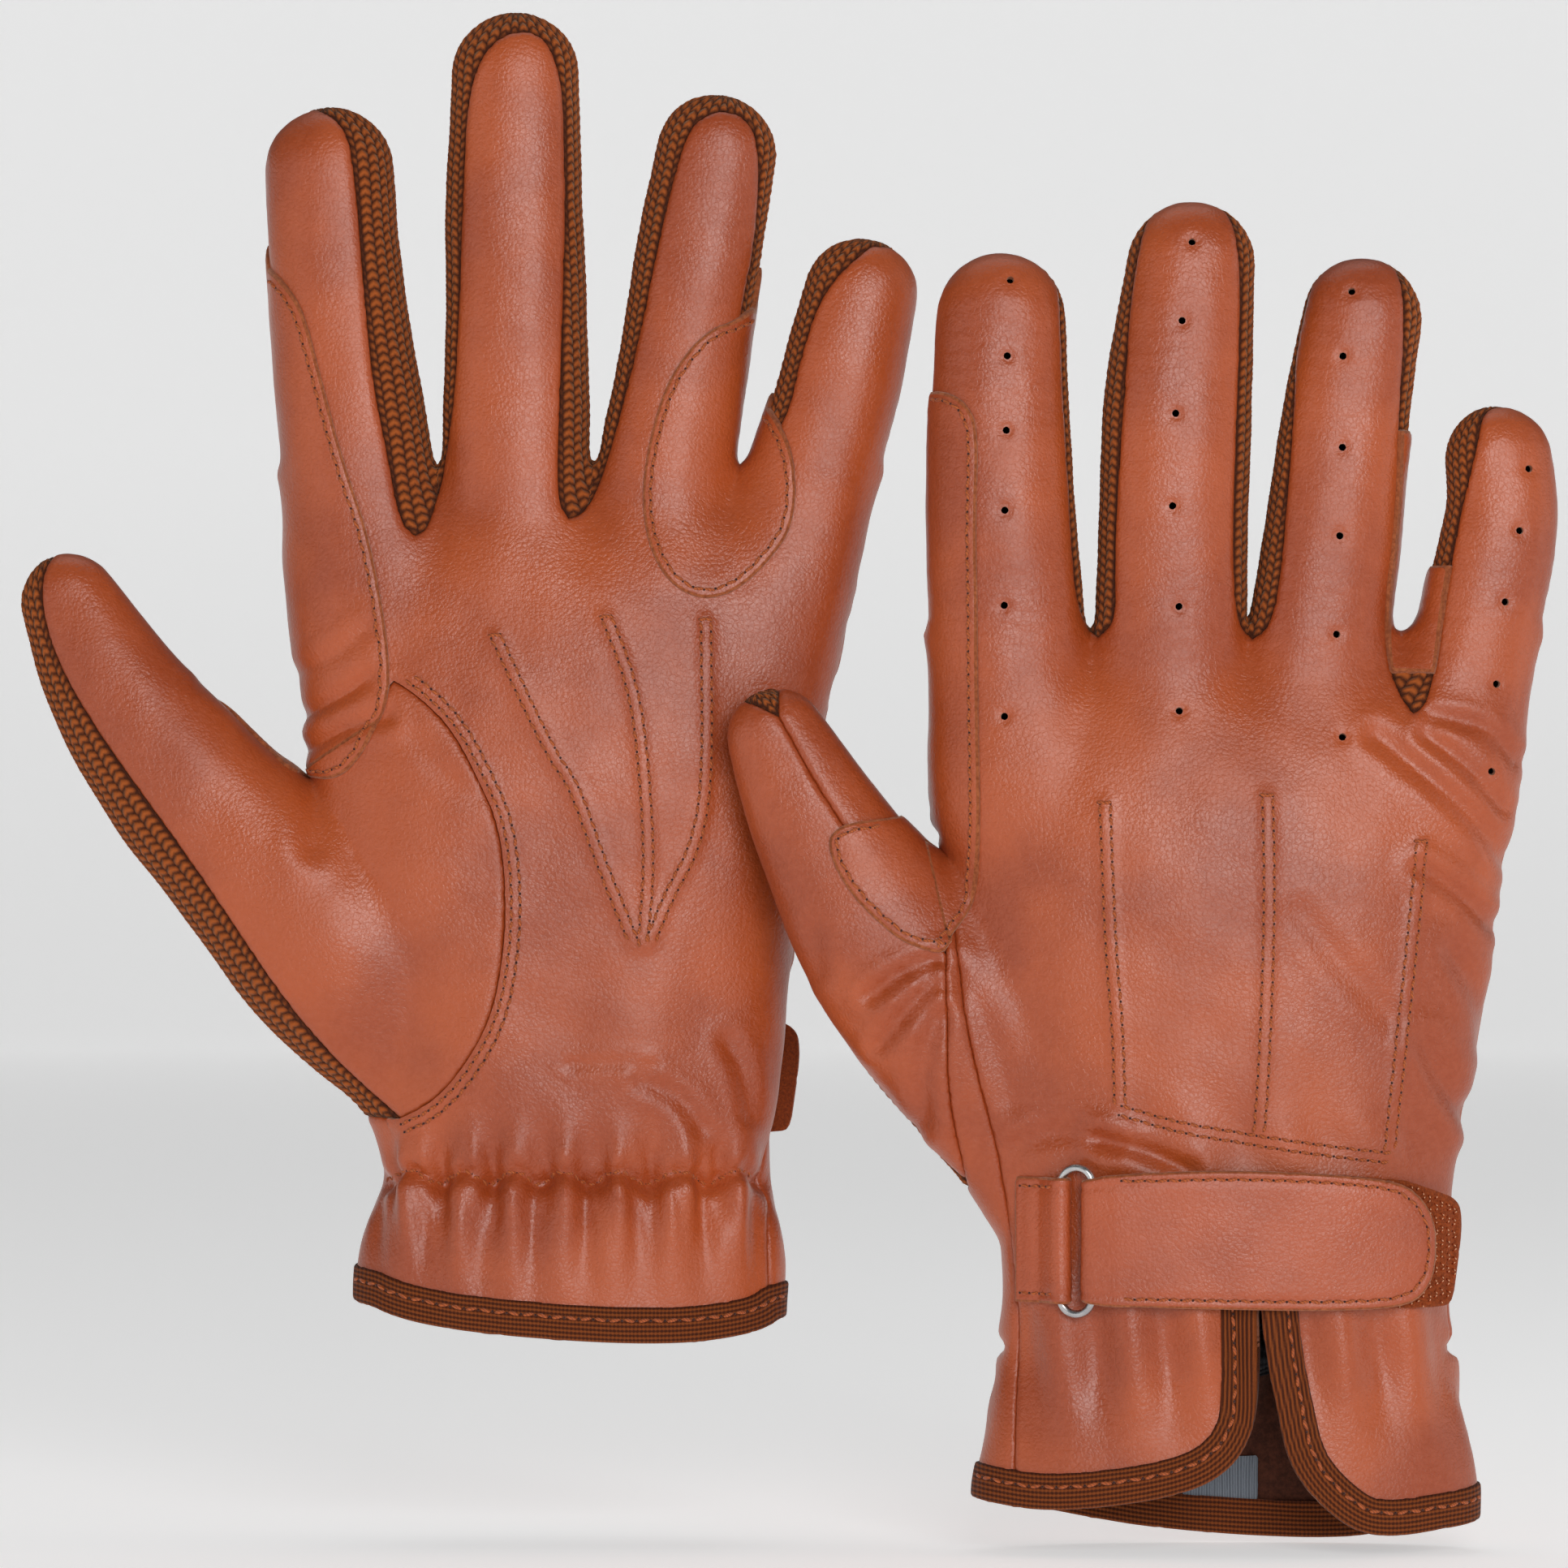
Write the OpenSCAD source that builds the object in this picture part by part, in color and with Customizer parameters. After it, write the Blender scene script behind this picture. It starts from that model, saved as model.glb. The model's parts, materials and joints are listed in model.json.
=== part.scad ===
// A pair of leather riding gloves with wrist straps, held upright as if worn.
// X runs across the pair, Z from the cuffs to the fingertips, and Y from the
// front of the pair to its back. The origin is the middle of the left glove's
// hand opening. Each glove is drawn with its thumb towards -X and its palm
// towards -Y; the right one is then turned over, so that its back faces front.

/* [Leather] */
// Thickness of the glove leather
leather_t = 1.2; // [1:0.1:1.6]
// Thickness of a sewn-on patch, tape or pad
patch_t = 0.9; // [0.6:0.1:1.2]
// Half width of the knitted strips along the fingers
knit_half = 5.5; // [4.5:0.5:6.5]

/* [Hand form] */
// Half depth of the cuff and palm
palm_depth = 17; // [16:0.5:18]
// Depth of a finger as a share of its width
finger_depth = 0.84; // [0.75:0.01:0.9]
// Depth of the thumb as a share of its width
thumb_depth = 0.72; // [0.65:0.01:0.8]

/* [Pair] */
// How far the right glove stands to the side of the left one
pair_step = 122.4; // [122:0.2:130]
// How far the right glove stands in front of the left one
pair_front = 20; // [20:1:26]
// How far the right glove hangs below the left one
pair_drop = 36; // [30:1:40]

/* [Wrist strap] */
// Width of the wrist strap
strap_w = 25; // [23:0.5:26]
// Radius of the ring's wire
wire_r = 0.75; // [0.6:0.05:0.9]
// Radial play of the ring in its leather folds
wire_play = 0.05; // [0.02:0.01:0.09]
// Thickness of the strap leather
strap_t = 1.4; // [1.2:0.1:1.5]

/* [Cuff] */
// Height of the knitted tape on the hem
hem_h = 6.8; // [5:0.2:8]
// Height of the gathered elastic band
elastic_h = 6; // [4:0.5:7]

/* [Hidden] */

LEFT = 0;
RIGHT = 1;
tan_leather = [0.70, 0.32, 0.22];
dark_leather = [0.60, 0.27, 0.19];
rust_knit = [0.45, 0.22, 0.10];
hook_orange = [0.72, 0.30, 0.10];
far = 130;          // past every edge of one glove
sliver = 0.02;      // thickness of the slices that a hull spans
ring_points = 20;   // corners of each cross-section
palm_round = 2.5;   // superellipse power of the palm
finger_round = 2.2; // superellipse power of a finger

// Cross-sections of cuff and palm: [middle x, z, half width, half depth share]
palm_rows = [
    [[0, 0, 40, 1], [0.2, 10, 40.3, 1], [1, 27, 36.5, 0.95], [0.2, 34, 39.5, 1],
     [0.2, 60, 39.5, 1], [-0.5, 90, 46, 1.03], [-0.5, 113, 48.3, 1], [0.3, 135, 50.3, 0.88],
     [0, 145, 50, 0.7], [1, 150, 46, 0.45]],
    [[0.2, 0, 46.5, 1], [0.2, 8, 46.8, 1], [1, 28, 41, 0.95], [0.2, 38, 41.3, 1],
     [0.2, 66, 41.3, 1], [0.5, 91, 47.6, 1.03], [0.5, 124, 51.3, 1], [1, 140, 53, 0.88],
     [1, 150, 50, 0.7], [1, 156, 44, 0.45]]
];
// Middle lines of the digits, root to tip: [x, z, half width, y]
index_rows = [
    [[-36, 130, 13.9, 0], [-41, 172, 13.4, 0], [-45.3, 215.5, 12, 0]],
    [[-38, 135, 13.9, 0], [-41, 184, 13.6, 0], [-41.6, 222.9, 11.9, 0]]
];
middle_rows = [
    [[-10.2, 130, 13.9, 0], [-10.3, 190.8, 13.2, 0], [-10.2, 233.5, 11.9, 0]],
    [[-10.5, 135, 13.9, 0], [-9, 203, 13.8, 0], [-6.2, 232.6, 11.8, 0]]
];
ring_rows = [
    [[13, 130, 12.6, 0], [20.2, 175.6, 11.6, 0], [27, 218.8, 11.2, 0]],
    [[13, 135, 12.8, 0], [21.1, 194, 11.8, 0], [25.2, 222.9, 11, 0]]
];
little_rows = [
    [[36, 125, 12, 0], [49.7, 169.8, 11.4, 0], [54.6, 192.4, 10.5, 0]],
    [[38, 128, 12, 0], [47.4, 163.2, 10.7, 0], [51.4, 196.4, 9.8, 0]]
];
thumb_rows = [
    [[-29, 47, 9.9, -1], [-36, 56, 14, -1], [-43.8, 65.3, 17, -2], [-56.2, 81.3, 15.9, -2],
     [-72.5, 100, 15.3, -2], [-86.6, 118.3, 12.6, -2], [-94.5, 134.5, 8.8, -2]],
    [[-39, 67, 9.9, 0], [-43, 77.7, 14, 0], [-51, 90.9, 17, 0], [-60, 101.8, 16.5, 0],
     [-67, 113, 15, 1], [-76.7, 130.7, 12, 2], [-83.5, 145, 8.8, 3]]
];
// Where the leather between two fingers starts: index, ring and little side
crotch_z = [[146, 146, 138], [152, 152, 140]];
// Bottom of the thumb crotch, and the wrist end of the thumb seam
thumb_crotch = [[-48.6, 103.7], [-52, 119]];
wrist_seam = [[-35, 37], [-42, 62]];
// Thenar edge: an ellipse [middle x, z, half width, half height]
thenar = [[-45, 78, 33.5, 46], [-48, 92, 33.5, 46]];
// U-shaped patch between ring and little finger, an ellipse as above
u_patch = [[28.5, 160, 14.5, 26], [30, 168, 14.5, 26]];
// Cuff slit in the back, an outline from its apex round to its apex
slit = [[5, 36], [8.5, 22], [13, 11], [20, 4], [28, -3], [-14, -3], [-8, 4], [-1, 9], [4, 17]];
elastic_z = [27, 30];
label_w = 14;
label_h = 9;
strap_z = [46.5, 52];

// Strap layers: each follows one wide superellipse, [half width, half depth]
strap_line = [48, palm_depth];
hook_t = 1.3;
pad_gap = 0.3;
loop_t = 1.2;
anchor_x = -31;
anchor_start = [-35, -40.5];
ring_pitch = 6;
bar_x = -25.3;
anchor_r = 2.3;
tab_r = 2;
fold_bite = 0.9;    // how far a fold sinks into its own strap
fold_w = 20.6;
tab_end = 39;
hook_x = [-4, 43.3];
anchor_t = 1.2;
corner_r = 10;

function curve_y(x, w, d) = d * pow(max(0, 1 - pow(abs(x) / w, palm_round)), 1 / palm_round);
function wrist_w(g) = palm_rows[g][4][2];
tab_base = hook_t + pad_gap + loop_t;
bar_y = curve_y(bar_x, strap_line[0] + tab_base, strap_line[1] + tab_base) + fold_bite - tab_r;
anchor_y = bar_y - sqrt(ring_pitch * ring_pitch - pow(bar_x - anchor_x, 2));
function super(w, d, power) = [
    for (i = [0 : ring_points - 1])
        let (a = 360 * i / ring_points, c = cos(a), s = sin(a))
            [w * sign(c) * pow(abs(c), 2 / power), d * sign(s) * pow(abs(s), 2 / power)]
];
// A ring of corners between x0 and x1 on a strap layer, t thick
function band(w, d, t, x0, x1, steps = 24) = concat(
    [for (i = [0 : steps]) let (x = x0 + (x1 - x0) * i / steps) [x, curve_y(x, w, d)]],
    [for (i = [steps : -1 : 0]) let (x = x0 + (x1 - x0) * i / steps)
        [x, curve_y(x, w + t, d + t)]]
);
function xz(rows) = [for (r = rows) [r[0], r[1]]];
function flip(list) = [for (i = [len(list) - 1 : -1 : 0]) list[i]];
function last(list) = list[len(list) - 1];
function lean(a, b) = atan2(b[0] - a[0], b[1] - a[1]);
// The turn of cross-section i of a digit
function turn(rows, i) = let (n = len(rows) - 1)
    lean(rows[max(i - 1, 0)], rows[min(i + 1, n)]);

module slice(x, y, z, angle, w, d, power) {
    translate([x, y, z])
        rotate([0, angle, 0])
            linear_extrude(sliver, center = true)
                polygon(super(w, d, power));
}

module cuff_slice(row, grow, drop = 0) {
    slice(row[0], 0, row[1] - drop, 0, row[2] + grow, palm_depth * row[3] + grow, palm_round);
}

// Cuff and palm, grown by grow; a shrunken one runs out past the hem
module palm_form(g, grow) {
    rows = palm_rows[g];
    n = len(rows) - 1;
    for (i = [0 : n - 1])
        hull() {
            cuff_slice(rows[i], grow);
            cuff_slice(rows[i + 1], grow, i + 1 == n ? -grow : 0);
        }
    hull() {
        cuff_slice(rows[0], grow);
        cuff_slice(rows[0], grow, grow < 0 ? 5 : patch_t);
    }
}

// One digit with a domed tip
module digit_form(rows, depth, grow) {
    n = len(rows) - 1;
    tip = rows[n];
    tip_turn = lean(rows[n - 1], tip);
    for (i = [0 : n - 1])
        hull()
            for (k = [i, i + 1])
                slice(rows[k][0], rows[k][3], rows[k][1], turn(rows, k), rows[k][2] + grow,
                      rows[k][2] * depth + grow, finger_round);
    hull()
        for (a = [0, 35, 62, 80]) {
            r = tip[2] + grow;
            reach = sin(a) * r;
            slice(tip[0] + reach * sin(tip_turn), tip[3], tip[1] + reach * cos(tip_turn),
                  tip_turn, r * cos(a), (tip[2] * depth + grow) * cos(a), finger_round);
        }
}

module glove_form(g, grow) {
    palm_form(g, grow);
    digit_form(index_rows[g], finger_depth, grow);
    digit_form(middle_rows[g], finger_depth, grow);
    digit_form(ring_rows[g], finger_depth, grow);
    digit_form(little_rows[g], finger_depth, grow);
    digit_form(thumb_rows[g], thumb_depth, grow);
}

// A shell between two growths of the hand form, above the hem's lower edge
module layer(g, outer, inner) {
    difference() {
        glove_form(g, outer);
        glove_form(g, inner);
    }
}

// An outline in the X-Z plane, drawn out in Y from y0 to y1
module prism(y0, y1) {
    translate([0, y1, 0])
        rotate([90, 0, 0])
            linear_extrude(y1 - y0)
                children();
}

module outline_between(a, b, z) {
    intersection() {
        polygon(concat([[last(a)[0], 2 * far]], flip(xz(a)), xz(b), [[last(b)[0], 2 * far]]));
        translate([-far, z])
            square([2 * far, 2 * far]);
    }
}

module knit_outline(g, i) {
    rows = [index_rows[g], middle_rows[g], ring_rows[g], little_rows[g]];
    outline_between(rows[i], rows[i + 1], crotch_z[g][i]);
}

module oval(e) {
    translate([e[0], e[1]])
        scale([e[2], e[3]])
            circle(1, $fn = 48);
}

module thumb_outline(g) {
    c = thumb_crotch[g];
    polygon([c, [c[0] - 30, c[1] + 88], [-far, c[1] + 88], [-far, 20], wrist_seam[g]]);
}

module thumb_front_outline(g) {
    thumb_outline(g);
    intersection() {
        oval(thenar[g]);
        translate([-far, wrist_seam[g][1] - 1])
            square([2 * far, 2 * far]);
    }
}

module gusset_outline(g) {
    tip = last(thumb_rows[g]);
    polygon(concat(xz(thumb_rows[g]), [[tip[0] - 4, tip[1] + 30], [-far, tip[1] + 30],
                                       [-far, thumb_rows[g][0][1]]]));
}

module knit_prisms(g) {
    prism(-knit_half, knit_half) {
        knit_outline(g, 0);
        knit_outline(g, 1);
        knit_outline(g, 2);
    }
}

// Leather of one face, from y0 to y1, without the knit and the thumb
module face_panel(g, y0, y1) {
    intersection() {
        layer(g, 0, -leather_t);
        difference() {
            prism(y0, y1)
                translate([-far, 0])
                    square([2 * far, 2 * far + 20]);
            knit_prisms(g);
            children();
        }
    }
}

module palm_panel(g) {
    color(tan_leather)
        face_panel(g, -far, 0)
            prism(-far, 0.1) thumb_front_outline(g);
}

module back_panel(g) {
    color(tan_leather)
        face_panel(g, 0, far)
            prism(-0.1, far) {
                thumb_outline(g);
                polygon(slit);
            }
}

module thumb_panel(g, y0, y1) {
    intersection() {
        layer(g, 0, -leather_t);
        difference() {
            prism(y0, y1) children();
            prism(-knit_half, knit_half) gusset_outline(g);
        }
    }
}

module thumb_front(g) {
    color(tan_leather)
        thumb_panel(g, -far, 0)
            thumb_front_outline(g);
}

module thumb_back(g) {
    color(tan_leather)
        thumb_panel(g, 0, far)
            thumb_outline(g);
}

module thumb_gusset(g) {
    color(rust_knit)
        intersection() {
            layer(g, 0, -leather_t);
            prism(-knit_half, knit_half)
                intersection() {
                    gusset_outline(g);
                    thumb_front_outline(g);
                }
        }
}

module fourchette(g, i) {
    color(rust_knit)
        intersection() {
            layer(g, 0, -leather_t);
            prism(-knit_half, knit_half) knit_outline(g, i);
        }
}

// A patch lies on the outside of the leather, inside an outline
module patch(g, y0, y1) {
    intersection() {
        layer(g, patch_t, 0);
        prism(y0, y1) children();
    }
}

module index_patch(g) {
    c = thumb_crotch[g];
    top = index_rows[g][1];
    front_x = palm_rows[g][6][0] - palm_rows[g][6][2] + 15;
    color(dark_leather) {
        patch(g, -far, sliver)
            polygon([[-far, top[1] + 25], [top[0] - 11, top[1] + 22], [top[0] - 5, top[1] + 5],
                     [front_x - 2, c[1] + 30], [front_x, c[1] + 14], c + [0, 1], c + [-16, 47],
                     [-far, c[1] + 40]]);
        patch(g, 0, far)
            polygon([[-far, top[1] + 25], [top[0] - 7, top[1] + 22], [top[0] - 5, top[1] + 10],
                     [top[0] - 5, c[1] + 4], c + [0, 1], c + [-16, 47], [-far, c[1] + 40]]);
    }
}

module web_patch(g) {
    c = thumb_crotch[g];
    color(dark_leather)
        difference() {
            patch(g, -far, far)
                polygon([c + [-15, 10], c + [-22, -2], c + [-14, -10], c + [0, -14],
                         c + [14, -4], c + [15.5, 13], c + [0, 0.5], c + [-12, 30]]);
            prism(0, far)
                translate([c[0] + 1, -far])
                    square([far, 3 * far]);
        }
}

module ring_little_patch(g) {
    color(dark_leather)
        patch(g, -far, knit_half)
            oval(u_patch[g]);
}

module hem_binding(g) {
    edge = hem_h + patch_t;
    color(rust_knit)
        difference() {
            union() {
                intersection() {
                    layer(g, patch_t, 0);
                    union() {
                        translate([-far, -far, 0])
                            cube([2 * far, 2 * far, hem_h]);
                        prism(0, far)
                            intersection() {
                                offset(delta = hem_h)
                                    polygon(slit);
                                translate([-far, 0])
                                    square([2 * far, 33]);
                            }
                    }
                }
                intersection() {
                    layer(g, patch_t, -leather_t - 0.5);
                    translate([-far, -far, -patch_t])
                        cube([2 * far, 2 * far, patch_t]);
                }
            }
            prism(-0.1, far) polygon(slit);
        }
}

module wrist_elastic(g) {
    color("black")
        intersection() {
            layer(g, -leather_t, -leather_t - 0.8);
            translate([-far, -far, elastic_z[g] - elastic_h / 2])
                cube([2 * far, far, elastic_h]);
        }
}

module size_label(g) {
    color("gray")
        intersection() {
            layer(g, -leather_t, -leather_t - 0.5);
            translate([-label_w / 2, -far, 1])
                cube([label_w, far, label_h]);
        }
}

// The strap parts stand on a plane across the wrist, at the strap's middle
module at_strap(g) {
    translate([0, 0, strap_z[g]])
        children();
}

module fold_tube(x, y, r) {
    translate([x, y, 0])
        cylinder(h = fold_w, r = r, center = true, $fn = 48);
}

module fold_bore(x, y) {
    translate([x, y, 0])
        cylinder(h = strap_w + 4, r = wire_r + wire_play, center = true, $fn = 48);
}

// Room for the ring's round ends, above and below the tab's fold
module end_room(x, y) {
    for (side = [-1, 1])
        translate([x, y, side * (fold_w / 2 + 5)])
            cube([5, 9, 10], center = true);
}

module strap_anchor(g) {
    w = wrist_w(g);
    color(dark_leather)
        at_strap(g)
            difference() {
                union() {
                    linear_extrude(strap_w - 2, center = true)
                        polygon(band(w + sliver, palm_depth + sliver, anchor_t,
                                     anchor_start[g], anchor_x, 12));
                    fold_tube(anchor_x, anchor_y, anchor_r);
                }
                fold_bore(anchor_x, anchor_y);
            }
}

module strap_ring(g) {
    tilt = atan2(bar_y - anchor_y, bar_x - anchor_x);
    straight = fold_w + 0.4;
    color("silver")
        at_strap(g)
            translate([anchor_x, anchor_y, 0])
                rotate([0, 0, tilt]) {
                    for (x = [0, ring_pitch])
                        translate([x, 0, 0])
                            cylinder(h = straight, r = wire_r, center = true, $fn = 32);
                    for (side = [0, 180])
                        rotate([side, 0, 0])
                            translate([ring_pitch / 2, 0, straight / 2])
                                rotate([90, 0, 0])
                                    rotate_extrude(angle = 180, $fn = 48)
                                        translate([ring_pitch / 2, 0])
                                            circle(wire_r, $fn = 32);
                }
}

// A strip with two round corners at its far end
module tongue(x0, x1, w, r) {
    prism(-2 * far, 2 * far) {
        translate([x0, -w / 2])
            square([x1 - x0 - r, w]);
        translate([x0, -w / 2 + r])
            square([x1 - x0, w - 2 * r]);
        for (side = [-1, 1])
            translate([x1 - r, side * (w / 2 - r)])
                circle(r, $fn = 48);
    }
}

module strap_tab(g) {
    color(tan_leather)
        at_strap(g)
            difference() {
                union() {
                    intersection() {
                        linear_extrude(strap_w, center = true)
                            polygon(band(strap_line[0] + tab_base, strap_line[1] + tab_base,
                                         strap_t, bar_x, tab_end));
                        tongue(bar_x - 1, tab_end, strap_w, corner_r);
                    }
                    fold_tube(bar_x, bar_y, tab_r);
                }
                fold_bore(bar_x, bar_y);
                end_room(bar_x - 0.4, bar_y);
            }
}

module loop_pad(g) {
    base = hook_t + pad_gap;
    color(rust_knit)
        at_strap(g)
            intersection() {
                linear_extrude(strap_w - 4, center = true)
                    polygon(band(strap_line[0] + base, strap_line[1] + base, loop_t - 0.1, 4,
                                 tab_end - 2));
                tongue(3, tab_end - 2, strap_w - 4, corner_r - 2);
            }
}

module hook_pad(g) {
    color(hook_orange)
        at_strap(g)
            intersection() {
                linear_extrude(strap_w, center = true)
                    polygon(band(strap_line[0], strap_line[1], hook_t, hook_x[0], hook_x[1]));
                tongue(hook_x[0], hook_x[1], strap_w, 2.5);
            }
}

// The right glove is turned over and set beside and before the left one
module right_hand() {
    translate([pair_step, -pair_front, -pair_drop])
        mirror([0, 1, 0])
            children();
}

palm_panel(LEFT);  // left_palm_panel
back_panel(LEFT);  // left_back_panel
thumb_front(LEFT);  // left_thumb_front
thumb_back(LEFT);  // left_thumb_back
thumb_gusset(LEFT);  // left_thumb_gusset
fourchette(LEFT, 0);  // left_fourchette_index_middle
fourchette(LEFT, 1);  // left_fourchette_middle_ring
fourchette(LEFT, 2);  // left_fourchette_ring_little
index_patch(LEFT);  // left_index_patch
web_patch(LEFT);  // left_web_patch
ring_little_patch(LEFT);  // left_ring_little_patch
hem_binding(LEFT);  // left_hem_binding
wrist_elastic(LEFT);  // left_wrist_elastic
size_label(LEFT);  // left_size_label
strap_anchor(LEFT);  // left_strap_anchor
strap_ring(LEFT);  // left_strap_ring
strap_tab(LEFT);  // left_strap_tab
loop_pad(LEFT);  // left_loop_pad
hook_pad(LEFT);  // left_hook_pad
right_hand() palm_panel(RIGHT);  // right_palm_panel
right_hand() back_panel(RIGHT);  // right_back_panel
right_hand() thumb_front(RIGHT);  // right_thumb_front
right_hand() thumb_back(RIGHT);  // right_thumb_back
right_hand() thumb_gusset(RIGHT);  // right_thumb_gusset
right_hand() fourchette(RIGHT, 0);  // right_fourchette_index_middle
right_hand() fourchette(RIGHT, 1);  // right_fourchette_middle_ring
right_hand() fourchette(RIGHT, 2);  // right_fourchette_ring_little
right_hand() index_patch(RIGHT);  // right_index_patch
right_hand() web_patch(RIGHT);  // right_web_patch
right_hand() ring_little_patch(RIGHT);  // right_ring_little_patch
right_hand() hem_binding(RIGHT);  // right_hem_binding
right_hand() wrist_elastic(RIGHT);  // right_wrist_elastic
right_hand() size_label(RIGHT);  // right_size_label
right_hand() strap_anchor(RIGHT);  // right_strap_anchor
right_hand() strap_ring(RIGHT);  // right_strap_ring
right_hand() strap_tab(RIGHT);  // right_strap_tab
right_hand() loop_pad(RIGHT);  // right_loop_pad
right_hand() hook_pad(RIGHT);  // right_hook_pad
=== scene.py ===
"""A pair of leather gloves with knitted finger sides and a wrist strap.

Each glove is sewn from panels: the hand's form is drawn as a soft volume, its
skin is cut along the seam lines, and every piece gets its own thickness,
rolled edges, stitches and finish. All pattern sizes are in millimetres, in the
glove's own frame: thumb towards -X, palm towards -Y, fingers up.
"""

import json
import logging
import math
from dataclasses import dataclass, field
from enum import Enum

import bpy
import numpy as np
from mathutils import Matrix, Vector
from mathutils.bvhtree import BVHTree
from mathutils.kdtree import KDTree


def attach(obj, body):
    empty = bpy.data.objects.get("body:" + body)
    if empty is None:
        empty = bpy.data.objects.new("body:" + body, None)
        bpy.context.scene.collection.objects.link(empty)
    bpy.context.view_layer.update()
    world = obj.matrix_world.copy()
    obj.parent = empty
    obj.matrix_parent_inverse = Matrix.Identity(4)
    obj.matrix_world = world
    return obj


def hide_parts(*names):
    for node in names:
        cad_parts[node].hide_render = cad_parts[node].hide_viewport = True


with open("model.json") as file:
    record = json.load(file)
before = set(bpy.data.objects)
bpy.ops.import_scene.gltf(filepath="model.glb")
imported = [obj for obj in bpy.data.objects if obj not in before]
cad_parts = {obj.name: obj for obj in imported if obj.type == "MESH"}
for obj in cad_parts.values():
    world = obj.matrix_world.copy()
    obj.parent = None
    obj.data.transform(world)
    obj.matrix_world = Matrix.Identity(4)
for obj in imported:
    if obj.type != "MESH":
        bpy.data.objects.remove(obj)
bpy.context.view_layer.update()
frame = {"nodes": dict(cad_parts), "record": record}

log = logging.getLogger("gloves")
MM = 0.001
YARN_PITCH = 2.25
LOOP_PITCH = 1.75
PATH_STEP = 0.25
NO_VENT = 9.0
Line = tuple[tuple[float, float], ...]
Rows = tuple[tuple[float, float, float, float], ...]


class Hand(Enum):
    """Which hand a glove is for."""

    LEFT = "left"
    RIGHT = "right"


class Face(Enum):
    """The side of a glove that a pattern line lies on."""

    PALM = -1
    BACK = 1


# Pattern lines

LEFT_DIGITS: dict[str, Rows] = {
    "index": ((-36, 130, 13.9, 0), (-39.2, 159, 13.6, 0), (-41, 172, 13.3, 0), (-43.9, 194.6, 12.3, 0),
              (-45.2, 215.6, 11.9, 0)),
    "middle": ((-10.2, 130, 13.9, 0), (-10, 172, 13.7, 0), (-10, 190.8, 13.2, 0), (-10.5, 209.6, 12.8, 0),
               (-10.2, 233.6, 11.9, 0)),
    "ring": ((13, 130, 12.6, 0), (18.2, 163, 12.3, 0), (20.6, 177, 11.7, 0), (24.2, 200, 11.7, 0),
             (27.6, 218.8, 11.2, 0)),
    "little": ((36, 125, 12.2, 0), (44, 153, 11.8, 0), (49.7, 170, 11.4, 0), (51.9, 180, 11.4, 0),
               (54.9, 192.4, 10.6, 0)),
    "thumb": ((-27, 45, 9, -1), (-36, 56, 14, -1), (-43.8, 65.3, 17, -2), (-56.2, 81.3, 16.2, -2),
              (-72.5, 100, 15.5, -2), (-86, 118, 12.8, -2), (-94.2, 134.5, 9, -2)),
}
RIGHT_DIGITS: dict[str, Rows] = {
    "index": ((-38, 135, 13.9, 0), (-40.6, 175.4, 13.8, 0), (-41.6, 193.2, 13.2, 0), (-41.6, 210, 12.4, 0),
              (-41.6, 222.9, 11.9, 0)),
    "middle": ((-10.5, 135, 13.9, 0), (-9.9, 172.5, 13.9, 0), (-9, 203.4, 13.8, 0), (-7.9, 217.5, 13.1, 0),
               (-6.2, 232.6, 11.8, 0)),
    "ring": ((13, 135, 12.8, 0), (19.6, 181.9, 12.4, 0), (21.1, 194, 11.9, 0), (23.8, 213, 11.5, 0),
             (25.6, 222.9, 11, 0)),
    "little": ((38, 128, 12, 0), (43.9, 152, 11.3, 0), (47.6, 165, 10.7, 0), (50.2, 178, 10.9, 0),
               (51.9, 187, 10.3, 0), (50.9, 196.6, 9.8, 0)),
    "thumb": ((-37, 62, 8, 0), (-43, 77.7, 14, 0), (-51, 90.9, 17, 0), (-60, 101.8, 16.6, 0),
              (-67, 113, 15, 1), (-76.7, 130.7, 12, 2), (-83.5, 145, 9, 3)),
}
# Cuff and palm: middle x, z, half width, half depth
LEFT_PALM: Rows = (
    (0, -16, 40, 17), (0, 0, 40, 17), (0.2, 10, 40.2, 17), (0.6, 20, 38.2, 16.5), (1, 27, 36.8, 16),
    (0.8, 34, 37.6, 16.4), (0.3, 46, 39.4, 17), (0.2, 60, 40, 17), (-0.5, 90, 46, 17.4),
    (-0.5, 113, 48.3, 17), (0.3, 135, 50.3, 14.6), (0, 145, 50, 11.6), (1, 151, 46, 8), (1, 158, 40, 3),
)
RIGHT_PALM: Rows = (
    (0.2, -16, 46.5, 17), (0.2, 0, 46.6, 17), (0.2, 8, 46.8, 17), (0.6, 18, 44, 16.6),
    (0.8, 28, 41.4, 16.2), (0.2, 38, 41.2, 16.6), (0.2, 52, 41.3, 17), (0.2, 66, 42, 17),
    (0.5, 91, 47.6, 17.4), (0.5, 124, 51.3, 17), (1, 140, 53, 14.8), (1, 150, 50, 11.6),
    (1, 156, 46, 8), (1, 163, 40, 3),
)

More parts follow.
